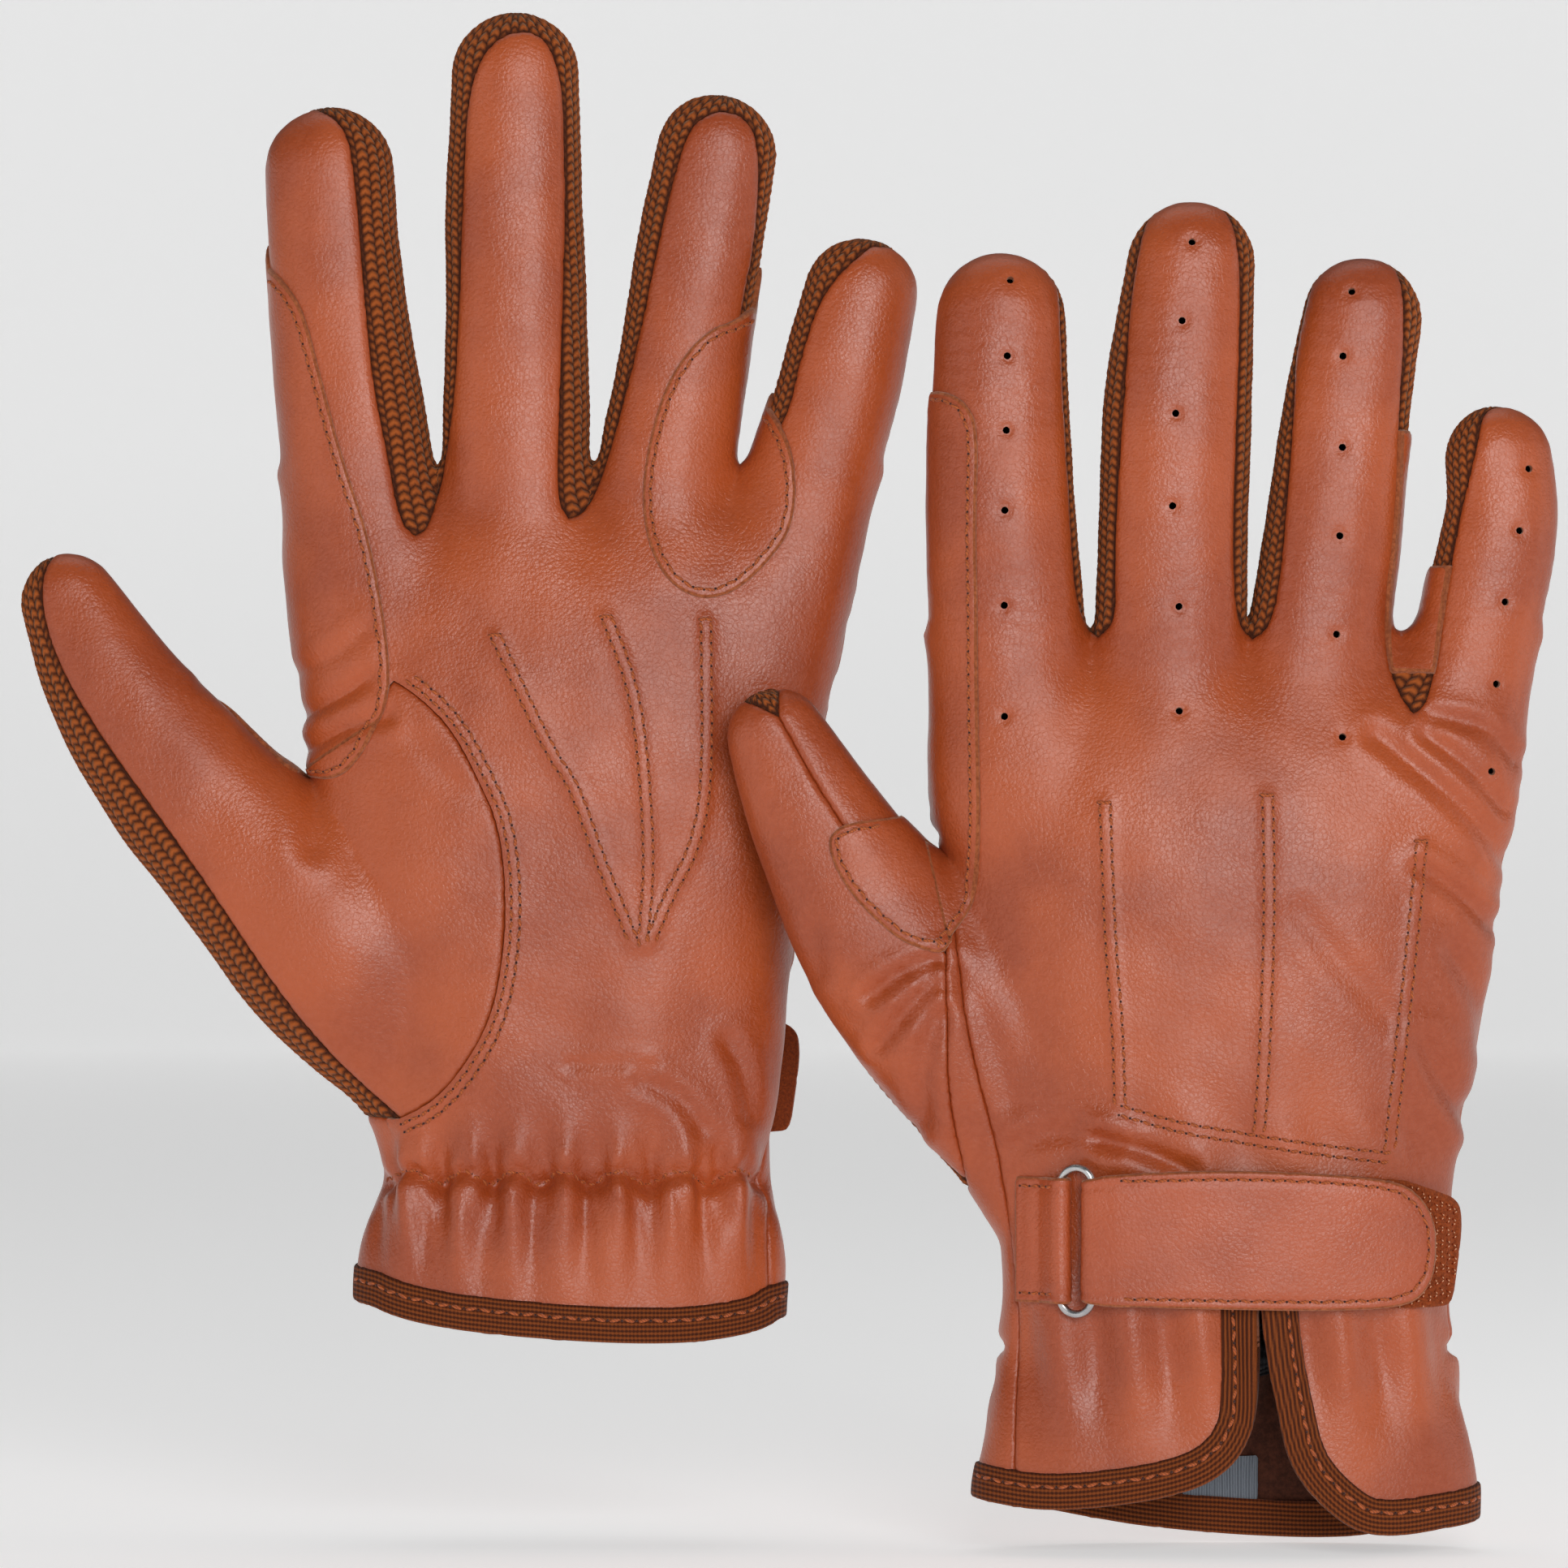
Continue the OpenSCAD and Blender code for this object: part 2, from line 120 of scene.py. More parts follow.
INDEX_KNIT: Line = (
    (-47.7, 227.4), (-43.5, 225.1), (-40.9, 221.2), (-39.5, 209.6), (-38.3, 194.6), (-36.6, 175.9),
    (-33.9, 162.8), (-31.5, 149.6), (-28.7, 146.8),
)
MIDDLE_KNIT: Line = (
    (-28.7, 146.8), (-26.1, 148.2), (-24, 157.2), (-21.7, 172.1), (-20.7, 190.8), (-20.1, 209.6),
    (-19.3, 228.3), (-16.7, 236.4), (-12.9, 240.6), (-8.1, 241.8), (-4.3, 240.2), (-1.8, 234.8),
    (-0.8, 228.3), (-0.3, 209.6), (-0.8, 190.8), (-1.4, 172.1), (-2, 153.4), (0.3, 150),
)
RING_KNIT: Line = (
    (0.3, 150), (3, 151.2), (5, 155.2), (7.9, 163.7), (12.5, 181.5), (16.3, 200.2), (19.6, 214.2),
    (21.9, 221.8), (24.6, 225.4), (29.3, 226.9), (33.1, 225.4), (35.4, 221.9), (36, 214.2),
    (35, 201.4), (32.8, 190.8), (31.2, 178.6), (29.2, 164.9), (28.1, 155.8), (28.9, 147.4),
)
LITTLE_KNIT: Line = (
    (28.9, 147.4), (31.2, 148.5), (34.2, 155.8), (38, 164.9), (41.3, 170.7), (42.9, 178.8),
    (46.1, 189.4), (50.3, 195.8), (56.7, 201.4),
)
THUMB_KNIT: Line = (
    (-96.7, 143.9), (-99.1, 139.4), (-98.5, 130), (-94.2, 119.6), (-87.7, 109.3), (-81.2, 100.2),
    (-71.7, 87.1), (-63.4, 74.9), (-54, 60.8), (-46.5, 51.5), (-39.1, 43.9), (-31.5, 37.5),
)
THENAR: Line = (
    (-31.5, 37.5), (-25.8, 40.3), (-20.2, 45.9), (-14.1, 56.2), (-11.7, 69.3), (-11.4, 81.5),
    (-12.8, 92.7), (-16.1, 100.2), (-21.3, 110.2), (-27.4, 116.3), (-32.4, 119.6),
)
THUMB_INNER: Line = (
    (-48.6, 103.7), (-48.9, 106.4), (-55.5, 109.4), (-63.1, 117.8), (-73.7, 126.2), (-82.1, 134.5),
    (-86.6, 142.1),
)
INDEX_PATCH_PALM: Line = (
    (-56.8, 198.1), (-52.6, 194.1), (-49.2, 188.5), (-46.5, 177.7), (-41.8, 159.9), (-37.5, 147.7),
    (-34.8, 134.7), (-33.4, 125.2), (-33.1, 116.9), (-35.3, 111.3),
)
WEB_PALM: Line = (
    (-35.3, 111.3), (-39.5, 103.7), (-43.6, 100.9), (-48.6, 101.4), (-53.2, 102.6), (-58.1, 107.9),
    (-62.3, 113.2),
)
U_PATCH: Line = (
    (34.2, 190), (31.2, 187.3), (26.1, 185.3), (22.2, 181.2), (18.8, 175.9), (16.4, 169.3),
    (14.7, 162), (13.8, 155.2), (14.4, 147), (16.9, 140.4), (20.5, 136.3), (25.4, 134.5),
    (30.2, 135.6), (34.4, 138.5), (38.5, 142.9), (41.3, 147), (42.6, 152.3), (42.7, 157.2),
    (42, 162.8), (40.1, 167.4), (38, 171),
)
DARTS: tuple[Line, ...] = (
    ((-13.4, 127.7), (-3, 105.6), (1.2, 100.2), (6.1, 85.9), (12.6, 70.2)),
    ((7.3, 131.2), (11.4, 120.8), (13.7, 110.2), (15.4, 86.2), (14.1, 70.7)),
    ((25.8, 130.7), (26.1, 100.2), (23.7, 88), (19, 79.6), (15.2, 70.2)),
)
PALM_HEM_LEFT: Line = (
    (-60, 4), (-39.5, 3.3), (-31.6, 0.2), (-21.4, -1.7), (-8.4, -3), (5.6, -4), (18.1, -4.3),
    (27.4, -3.8), (36.8, -2.1), (40.3, 0.5), (60, 1),
)
PALM_HEM_RIGHT: Line = (
    (-70, 4), (-46.4, 3.6), (-43.3, 2.4), (-24.9, -1.5), (-12.8, -3.6), (4.6, -5), (17.6, -5.5),
    (27.8, -4.9), (40, -1.7), (47.1, 0), (70, 0),
)
INDEX_BACK: Line = (
    (-32.8, 232), (-30.9, 229.7), (-30.6, 220.9), (-29.9, 204.7), (-29.2, 192.6), (-28.6, 180.6),
    (-27.4, 168.4), (-24, 163.4),
)
MIDDLE_BACK_OUTER: Line = (
    (-24, 163.4), (-20.8, 166.4), (-21, 176.5), (-20.4, 192.6), (-19.2, 208.7), (-18.1, 224.8),
    (-16.4, 235.3), (-14.9, 240.5),
)
MIDDLE_BACK_INNER: Line = (
    (-0.3, 243.5), (1.7, 239.4), (2.7, 232.9), (2.7, 220.9), (2.1, 204.7), (1.5, 188.6),
    (1.4, 176.5), (2.1, 166.7), (4.7, 163.2),
)
RING_BACK_OUTER: Line = (
    (4.7, 163.2), (7.6, 165.2), (9.4, 172.5), (10.2, 180.6), (11.7, 196.7), (12.5, 208.7),
    (13.1, 217.7), (14.3, 225.1),
)
RING_BACK_INNER: Line = (
    (31.9, 231.6), (33, 227.2), (33, 216.8), (32.4, 206.3), (32.2, 201.6), (31.6, 184.5),
    (29.6, 168.4), (30.4, 157.9), (31.9, 153.1), (34.2, 149.3),
)
LITTLE_BACK: Line = (
    (34.2, 149.3), (36.5, 150.6), (38.5, 157.9), (40, 168.4), (42.1, 180.6), (44.1, 190.2),
    (46.5, 199.9), (47.3, 204.7), (50.2, 206.6),
)
THUMB_BACK_SEAM: Line = (
    (-83, 148.8), (-78.7, 140.9), (-74.6, 133.9), (-71, 128.6), (-63.8, 118.1), (-57, 109.7),
    (-52.1, 104.9),
)
THUMB_HAND_SEAM: Line = ((-52.1, 104.9), (-52, 89.4), (-51.5, 78.1), (-48.6, 63.2), (-47.7, 61.1))
THUMB_TIP_KNIT: Line = ((-91.2, 152.2), (-87.4, 151.1), (-83, 148.8))
BACK_SIDE_SEAM: Line = (
    (-52, 121.6), (-50.3, 108.2), (-49.6, 103.4), (-48.6, 94.5), (-46.8, 84.7), (-44.5, 75.4),
    (-42.1, 66), (-40, 52), (-38.3, 36), (-39.1, 23.1), (-39.5, 11.1), (-40, -20),
)
INDEX_PATCH_BACK: Line = (
    (-58, 209.5), (-55.5, 209.3), (-51.1, 208.8), (-47.7, 206.3), (-45.9, 201.6), (-46.4, 184.7),
    (-46.1, 170.7), (-45.9, 152), (-45.4, 122.2), (-46.5, 114.5), (-48.2, 111.6), (-51.1, 108.2),
    (-52.6, 105.2),
)
WEB_BACK: Line = (
    (-52.6, 105), (-56.4, 105.5), (-60.3, 107), (-64.4, 110.4), (-68.6, 114.5), (-72.2, 119.8),
    (-73.9, 124.6), (-73.4, 127.1), (-70.5, 128.9), (-65.2, 129.5),
)
POINTS: tuple[Line, ...] = (
    ((-22.8, 132.5), (-22.3, 117.5), (-21.6, 103.4), (-20.5, 91.2), (-20.1, 76.9)),
    ((7.1, 133.9), (7.4, 117.5), (7, 98.8), (6.1, 80), (5.5, 72)),
    ((35.6, 125.4), (34.7, 115.7), (33.3, 102.1), (31.5, 85.4), (29.6, 68.4)),
)
BOTTOM_ROW: Line = ((-20.1, 76), (-8.4, 72.7), (5.5, 70.5), (17.5, 68.6), (29.6, 67.3))
SLIT_OUTER: Line = (
    (-47.9, 3.8), (-44.1, 3.2), (-35.1, 2), (-24.9, 2.6), (-12.8, 4.4), (-4.6, 6.8), (0.6, 10.5),
    (3.5, 14.9), (5, 19.5), (5.2, 29.6), (5, 39.8), (5.4, 44),
)
SLIT_INNER: Line = (
    (5.4, 44), (5.9, 38.9), (7, 29.6), (8.7, 21.4), (10.6, 12.5), (13.5, 7.1), (17.6, 2.7),
    (21.7, -0.5), (25.7, -2.3), (31.9, -2.6), (40, -1.5), (45.3, -0.9), (48.6, 0),
)
HOLES: tuple[Line, ...] = (
    ((-40.1, 229.5), (-40.7, 215.4), (-40.9, 201.6), (-41.2, 186.8), (-41.3, 169.2), (-41.3, 148.7)),
    ((-6.5, 236.5), (-8.4, 221.9), (-9.6, 204.7), (-10.2, 187.6), (-9, 169), (-9, 149.7)),
    ((23.1, 227.4), (21.4, 215.4), (21.3, 198.5), (20.8, 182.1), (20.2, 163.9), (21.1, 144.9)),
    ((56, 194.6), (54.2, 183.1), (51.5, 169.9), (49.9, 154.7), (48.9, 138.5)),
)
# Creases: (line, depth, half width)
BACK_CREASES: tuple[tuple[Line, float, float], ...] = (
    (((36.6, 145.2), (44.7, 139), (50.8, 131.9)), 0.9, 1.5),
    (((37.6, 148.7), (47.8, 147.2), (53.9, 140.5)), 0.8, 1.4),
    (((27.4, 145.1), (37.6, 137), (47.8, 127.8), (51.9, 122)), 0.9, 1.8),
    (((35.5, 120.7), (42.7, 116.5), (49.5, 110)), 1.1, 1.5),
    (((13.1, 112.5), (22.3, 101.3), (30.4, 92.1)), 0.4, 2.2),
    (((36.6, 88), (40.6, 79.8), (45.2, 73.7)), 1.2, 2.0),
    (((41.6, 105.3), (46.7, 97.2), (48, 88)), 0.8, 2.0),
    (((-23.6, 70.7), (-15.5, 68.6), (-7.3, 65.1)), 1.2, 1.6),
    (((-37.9, 69.7), (-29.7, 72.7), (-21.6, 69.7)), 0.6, 1.8),
    (((-54.2, 103.4), (-60.3, 101.3), (-66, 97.2)), 1.2, 1.5),
    (((-54.7, 99.2), (-60.3, 93.1), (-64.4, 88)), 1.1, 1.5),
    (((-53.7, 93.1), (-56.8, 82.9), (-55.8, 73.7)), 1.0, 1.8),
    (((-76.6, 109.4), (-75.6, 101.3)), 0.5, 1.8),
    (((-50, 101), (-45, 92), (-40, 78)), 0.5, 2.2),
)
PALM_CREASES: tuple[tuple[Line, float, float], ...] = (
    (((-47.7, 106.4), (-42.4, 110), (-34, 112.8)), 0.9, 1.5),
    (((-49.3, 112.8), (-42.4, 116), (-37.1, 120.2)), 0.8, 1.4),
    (((-50.8, 121), (-43, 124.5), (-37.6, 129)), 0.45, 1.5),
    (((-48.8, 101), (-48.3, 88.2)), 0.6, 2.2),
    (((-28, 108), (-22, 101), (-16.5, 98)), 0.3, 1.8),
    (((0.2, 47.7), (8.8, 48.3), (16.2, 47.7)), 0.4, 1.0),
    (((14, 45), (21.6, 41.3), (24.8, 36)), 0.7, 1.6),
    (((30, 52), (33, 46), (34, 38)), 0.6, 1.6),
    (((-69, 119), (-62, 115), (-54, 117)), 0.3, 1.4),
)


def soften(line: Line, rounds: int = 2) -> np.ndarray:
    """Rounds the corners of a line by cutting them, and keeps its ends.

    Args:
        line: the line's points.
        rounds: how often the corners are cut.

    Returns:
        The rounded line, one point a row.
    """
    p = np.array(line, float)
    for _ in range(rounds):
        mid = np.empty((2 * (len(p) - 1), p.shape[1]))
        mid[0::2] = p[:-1] * 0.75 + p[1:] * 0.25
        mid[1::2] = p[:-1] * 0.25 + p[1:] * 0.75
        p = np.vstack([p[:1], mid, p[-1:]])
    return p


def line_distance(line: np.ndarray, x: np.ndarray, z: np.ndarray) -> np.ndarray:
    """Distance of points from an open line.

    Args:
        line: the line, one point a row.
        x: the points' x.
        z: the points' z.

    Returns:
        The distance of each point.
    """
    best = np.full(x.shape, 1e9)
    for (ax, az), (bx, bz) in zip(line[:-1], line[1:]):
        dx, dz = bx - ax, bz - az
        span = max(dx * dx + dz * dz, 1e-9)
        t = np.clip(((x - ax) * dx + (z - az) * dz) / span, 0, 1)
        best = np.minimum(best, (x - ax - t * dx) ** 2 + (z - az - t * dz) ** 2)
    return np.sqrt(best)


def outline_distance(outline: np.ndarray, x: np.ndarray, z: np.ndarray) -> np.ndarray:
    """Signed distance of points from a closed outline.

    Args:
        outline: the closed outline, one point a row.
        x: the points' x.
        z: the points' z.

    Returns:
        The distance, positive inside.
    """
    closed = np.vstack([outline, outline[:1]])
    inside = np.zeros(x.shape, bool)
    for (ax, az), (bx, bz) in zip(closed[:-1], closed[1:]):
        if az == bz:
            continue
        crosses = (az > z) != (bz > z)
        inside ^= crosses & (x < ax + (z - az) * (bx - ax) / (bz - az))
    return np.where(inside, 1.0, -1.0) * line_distance(closed, x, z)


def outline(*parts: Line | np.ndarray) -> np.ndarray:
    """Joins rounded lines and single far points into one closed outline."""
    return np.vstack([np.atleast_2d(np.array(p, float)) for p in parts])


def bell(v: np.ndarray, width: float) -> np.ndarray:
    """A soft hump: 1 at 0, and about a third at the width."""
    return np.exp(-(v / width) ** 2)


def unit(v: np.ndarray) -> np.ndarray:
    """Vectors, one a row, brought to length 1."""
    return v / np.maximum(np.linalg.norm(v, axis=1, keepdims=True), 1e-9)


def smoothstep(low: float, high: float, v: np.ndarray) -> np.ndarray:
    """A soft step from 0 at low to 1 at high."""
    t = np.clip((v - low) / (high - low), 0, 1)
    return t * t * (3 - 2 * t)


# Skins: triangle meshes that can be cut along any line


@dataclass
class Skin:
    """An open or closed surface of triangles, with named values at its points."""

    points: np.ndarray
    tris: np.ndarray
    values: dict[str, np.ndarray] = field(default_factory=dict)

    def normals(self) -> np.ndarray:
        """Unit normals at the points."""
        a, b, c = (self.points[self.tris[:, i]] for i in range(3))
        n = np.cross(b - a, c - a)
        out = np.zeros_like(self.points)
        for i in range(3):
            for k in range(3):
                out[:, k] += np.bincount(self.tris[:, i], n[:, k], len(self.points))
        return out / np.maximum(np.linalg.norm(out, axis=1, keepdims=True), 1e-12)

    def smooth(self, rounds: int, share: float = 0.5) -> None:
        """Evens out the surface by moving points towards their neighbours.

        Args:
            rounds: how often.
            share: how far towards the neighbours' middle.
        """
        e = np.vstack([self.tris[:, [0, 1]], self.tris[:, [1, 2]], self.tris[:, [2, 0]]])
        n = len(self.points)
        count = np.maximum(np.bincount(e[:, 0], minlength=n), 1)[:, None]
        for _ in range(rounds):
            mean = np.stack([np.bincount(e[:, 0], self.points[e[:, 1], k], n) for k in range(3)], 1)
            self.points += (mean / count - self.points) * share

    def pick(self, mask: np.ndarray) -> "Skin":
        """The part of the surface whose triangles are picked."""
        tris = self.tris[mask]
        used, back = np.unique(tris, return_inverse=True)
        return Skin(self.points[used].copy(), back.reshape(-1, 3),
                    {k: v[used].copy() for k, v in self.values.items()})

    def where(self, name: str, above: bool = True, level: float = 0.0) -> "Skin":
        """The part where a value lies above, or below, a level.

        Args:
            name: the value.
            above: True for the part above the level.
            level: the level.

        Returns:
            That part, with its border exactly on the level.
        """
        cut = self.split(name, level)
        middle = cut.values[name][cut.tris].sum(1) - 3 * level
        return cut.pick(middle > 0 if above else middle < 0)

    def _with_new(self, pairs: np.ndarray, t: np.ndarray) -> tuple[np.ndarray, dict]:
        """The points and values with new points set on the given edges."""
        a, b = pairs[:, 0], pairs[:, 1]
        mix = self.points[a] + (self.points[b] - self.points[a]) * t[:, None]
        values = {k: np.concatenate([v, v[a] + (v[b] - v[a]) * t]) for k, v in self.values.items()}
        return np.vstack([self.points, mix]), values

    def split(self, name: str, level: float = 0.0, snap: float = 0.1) -> "Skin":
        """Cuts the triangles along a level of a value.

        Args:
            name: the value.
            level: the level to cut at.
            snap: points nearer to the level than this lie on it.

        Returns:
            The same surface with an edge along the level.
        """
        f = self.values[name] - level
        f = np.where(np.abs(f) < snap, 0.0, f)
        values = dict(self.values)
        values[name] = f + level
        base = Skin(self.points, self.tris, values)
        s = np.sign(f).astype(int)
        st = s[self.tris]
        cut = (st.min(1) < 0) & (st.max(1) > 0)
        if not cut.any():
            return base
        tri, sign = self.tris[cut], st[cut]
        edges = np.vstack([tri[:, [0, 1]], tri[:, [1, 2]], tri[:, [2, 0]]])
        crossing = s[edges[:, 0]] * s[edges[:, 1]] < 0
        keys = np.unique(np.sort(edges[crossing], axis=1), axis=0)
        n = len(self.points)
        index = {(int(a), int(b)): n + i for i, (a, b) in enumerate(keys)}
        fa, fb = f[keys[:, 0]], f[keys[:, 1]]
        points, values = base._with_new(keys, fa / (fa - fb))
        values[name][n:] = level
        made = []
        for t, q in zip(tri.tolist(), sign.tolist()):
            if 0 in q:
                i = q.index(0)
                z, p, r = t[i], t[(i + 1) % 3], t[(i + 2) % 3]
                m = index[(min(p, r), max(p, r))]
                made += [(z, p, m), (z, m, r)]
            else:
                lone = -1 if sum(q) > 0 else 1
                i = q.index(lone)
                o, p, r = t[i], t[(i + 1) % 3], t[(i + 2) % 3]
                m1 = index[(min(o, p), max(o, p))]
                m2 = index[(min(o, r), max(o, r))]
                made += [(o, m1, m2), (m1, p, r), (m1, r, m2)]
        return Skin(points, np.vstack([self.tris[~cut], np.array(made, int)]), values)

    def refine(self, mask: np.ndarray | None = None) -> "Skin":
        """Halves the edges between marked points, or all edges.

        Args:
            mask: the marked points; None marks all.

        Returns:
            The finer surface, with no gaps.
        """
        if mask is None:
            mask = np.ones(len(self.points), bool)
        t = self.tris
        edges = np.sort(np.vstack([t[:, [0, 1]], t[:, [1, 2]], t[:, [2, 0]]]), axis=1)
        keys, back = np.unique(edges, axis=0, return_inverse=True)
        marked = mask[keys[:, 0]] & mask[keys[:, 1]]
        ids = np.full(len(keys), -1)
        ids[marked] = len(self.points) + np.arange(marked.sum())
        points, values = self._with_new(keys[marked], np.full(marked.sum(), 0.5))
        back = back.reshape(-1)
        m = np.stack([ids[back[i * len(t):(i + 1) * len(t)]] for i in range(3)], 1)
        count = (m >= 0).sum(1)
        a, b, c = t[:, 0], t[:, 1], t[:, 2]
        ab, bc, ca = m[:, 0], m[:, 1], m[:, 2]
        full = count == 3
        made = [t[count == 0]]
        for quad in ((a, ab, ca), (ab, b, bc), (ca, bc, c), (ab, bc, ca)):
            made.append(np.stack([v[full] for v in quad], 1))
        some = np.nonzero((count == 1) | (count == 2))[0]
        extra = []
        for i in some.tolist():
            v, e = [int(x) for x in t[i]], [int(x) for x in m[i]]
            if count[i] == 1:
                k = [x >= 0 for x in e].index(True)
                p, q, r = v[k], v[(k + 1) % 3], v[(k + 2) % 3]
                extra += [(p, e[k], r), (e[k], q, r)]
            else:
                k = [x >= 0 for x in e].index(False)
                p, q, r = v[k], v[(k + 1) % 3], v[(k + 2) % 3]
                qr, rp = e[(k + 1) % 3], e[(k + 2) % 3]
                extra += [(p, q, qr), (p, qr, rp), (rp, qr, r)]
        if extra:
            made.append(np.array(extra, int))
        return Skin(points, np.vstack(made), values)

    def border(self) -> np.ndarray:
        """The edges that only one triangle uses, in that triangle's order."""
        e = np.vstack([self.tris[:, [0, 1]], self.tris[:, [1, 2]], self.tris[:, [2, 0]]])
        key = np.sort(e, axis=1)
        _, first, count = np.unique(key, axis=0, return_index=True, return_counts=True)
        return e[first[count == 1]]

    def rim_distance(self, most: float = 4.0) -> np.ndarray:
        """How far each point is from the surface's border, up to a limit."""
        rim = np.unique(self.border())
        out = np.full(len(self.points), most)
        if not len(rim):
            return out
        tree = KDTree(len(rim))
        for i, p in enumerate(self.points[rim]):
            tree.insert(p, i)
        tree.balance()
        for i, p in enumerate(self.points.tolist()):
            out[i] = min(most, tree.find(p)[2])
        return out

    def without_crumbs(self, least: int = 40) -> "Skin":
        """Drops loose bits of fewer triangles than least."""
        parent = np.arange(len(self.points))
        for _ in range(200):
            low = parent[self.tris].min(1)
            before = parent.copy()
            for i in range(3):
                np.minimum.at(parent, self.tris[:, i], low)
            parent = parent[parent]
            if (before == parent).all():
                break
        group = parent[self.tris[:, 0]]
        _, back, count = np.unique(group, return_inverse=True, return_counts=True)
        return self.pick(count[back.reshape(-1)] >= least)


def surface_net(values: np.ndarray, low: np.ndarray, step: float) -> Skin:
    """The surface where a volume's values change sign.

    Args:
        values: a box of values, negative inside.
        low: the box's lowest corner.
        step: the distance between two values.

    Returns:
        The closed surface, facing out.
    """
    shape = np.array(values.shape)
    cells = tuple(shape - 1)
    total = np.zeros((*cells, 3), np.float32)
    count = np.zeros(cells, np.int16)
    inside = values < 0
    crossings = []
    for axis in range(3):
        lo, hi = [slice(None)] * 3, [slice(None)] * 3
        lo[axis], hi[axis] = slice(0, -1), slice(1, None)
        crossing = inside[tuple(lo)] != inside[tuple(hi)]
        at = np.argwhere(crossing)
        f0 = values[tuple(lo)][crossing]
        f1 = values[tuple(hi)][crossing]
        place = at.astype(np.float32)
        place[:, axis] += f0 / (f0 - f1)
        crossings.append((at, inside[tuple(lo)][crossing]))
        others = [k for k in range(3) if k != axis]
        for d0 in (0, 1):
            for d1 in (0, 1):
                cell = at.copy()
                cell[:, others[0]] -= d0
                cell[:, others[1]] -= d1
                ok = ((cell >= 0) & (cell < np.array(cells))).all(1)
                c = cell[ok]
                flat = np.ravel_multi_index(c.T, cells)
                for k in range(3):
                    total[..., k] += np.bincount(flat, place[ok, k], total[..., k].size).reshape(cells)
                count += np.bincount(flat, minlength=count.size).reshape(cells).astype(np.int16)
    index = np.full(cells, -1)
    used = count > 0
    index[used] = np.arange(used.sum())
    points = total[used] / count[used][:, None] * step + low
    quads = []
    for axis, (at, start_inside) in enumerate(crossings):
        u, v = [k for k in range(3) if k != axis]
        if axis == 1:
            u, v = v, u
        ok = (at[:, u] > 0) & (at[:, v] > 0) & (at[:, u] < shape[u] - 1) & (at[:, v] < shape[v] - 1)
        at, start_inside = at[ok], start_inside[ok]
        corner = []
        for du, dv in ((1, 1), (0, 1), (0, 0), (1, 0)):
            c = at.copy()
            c[:, u] -= du
            c[:, v] -= dv
            corner.append(index[c[:, 0], c[:, 1], c[:, 2]])
        q = np.stack(corner, 1)
        q[~start_inside] = q[~start_inside][:, ::-1]
        quads.append(q)
    q = np.vstack(quads)
    q = q[(q >= 0).all(1)]
    p = points.astype(float)
    flip = np.linalg.norm(p[q[:, 0]] - p[q[:, 2]], axis=1) > np.linalg.norm(p[q[:, 1]] - p[q[:, 3]], axis=1)
    tris = np.vstack([q[~flip][:, [0, 1, 2]], q[~flip][:, [0, 2, 3]],
                      q[flip][:, [1, 2, 3]], q[flip][:, [1, 3, 0]]])
    return Skin(p, tris)


# The hand's form

# The same places on the left and on the right glove
LANDMARKS: tuple[tuple[float, float, float, float], ...] = (
    (-97, 139, -87, 151), (-72.5, 100, -67, 113), (-48.6, 103.7, -52, 119), (-33, 38, -41, 62),
    (-90, 118, -82, 131), (-56, 81, -60, 102), (-45.3, 227, -41.6, 234), (-36, 130, -38, 138),
    (-10.2, 245, -6.2, 244), (-28.7, 146.8, -25, 154), (0.3, 150, 4, 155), (28.9, 147.4, 33, 147),
    (27.6, 229, 25.6, 233), (54.9, 202, 50.9, 206), (48, 135, 51, 140), (-40, 0, -46.5, 0),
    (40, 0, 46.8, 0), (0, 0, 0, 0), (-36.8, 27, -41, 30), (37.6, 27, 41.5, 30), (0, 27, 0, 30),
    (46, 90, 48, 92), (-12, 80, -14, 84), (0, 60, 0, 66), (14, 70, 14, 73), (6, 128, 7, 134),
)
SIDE_SEAM: Line = ((43.3, 36.5), (38.8, 29.6), (37.2, 19), (37.7, 5.3), (38.8, -20))
THUMB_SILHOUETTE: Line = (
    (-49.4, 124.2), (-57, 131), (-64.6, 141.7), (-70.7, 149.3), (-79, 156.1), (-83.3, 157.3),
)


def carry(line: Line, to: Hand) -> np.ndarray:
    """Moves a line drawn on one glove to the same place on the other.

    Args:
        line: the line.
        to: the hand that it is carried to.

    Returns:
        The moved line, rounded.
    """
    marks = np.array(LANDMARKS, float)
    here, there = (marks[:, :2], marks[:, 2:]) if to is Hand.RIGHT else (marks[:, 2:], marks[:, :2])
    p = soften(line)
    weight = 1 / (((p[:, None] - here[None]) ** 2).sum(2) + 4) ** 1.5
    weight /= weight.sum(1, keepdims=True)
    return p + weight @ (there - here)


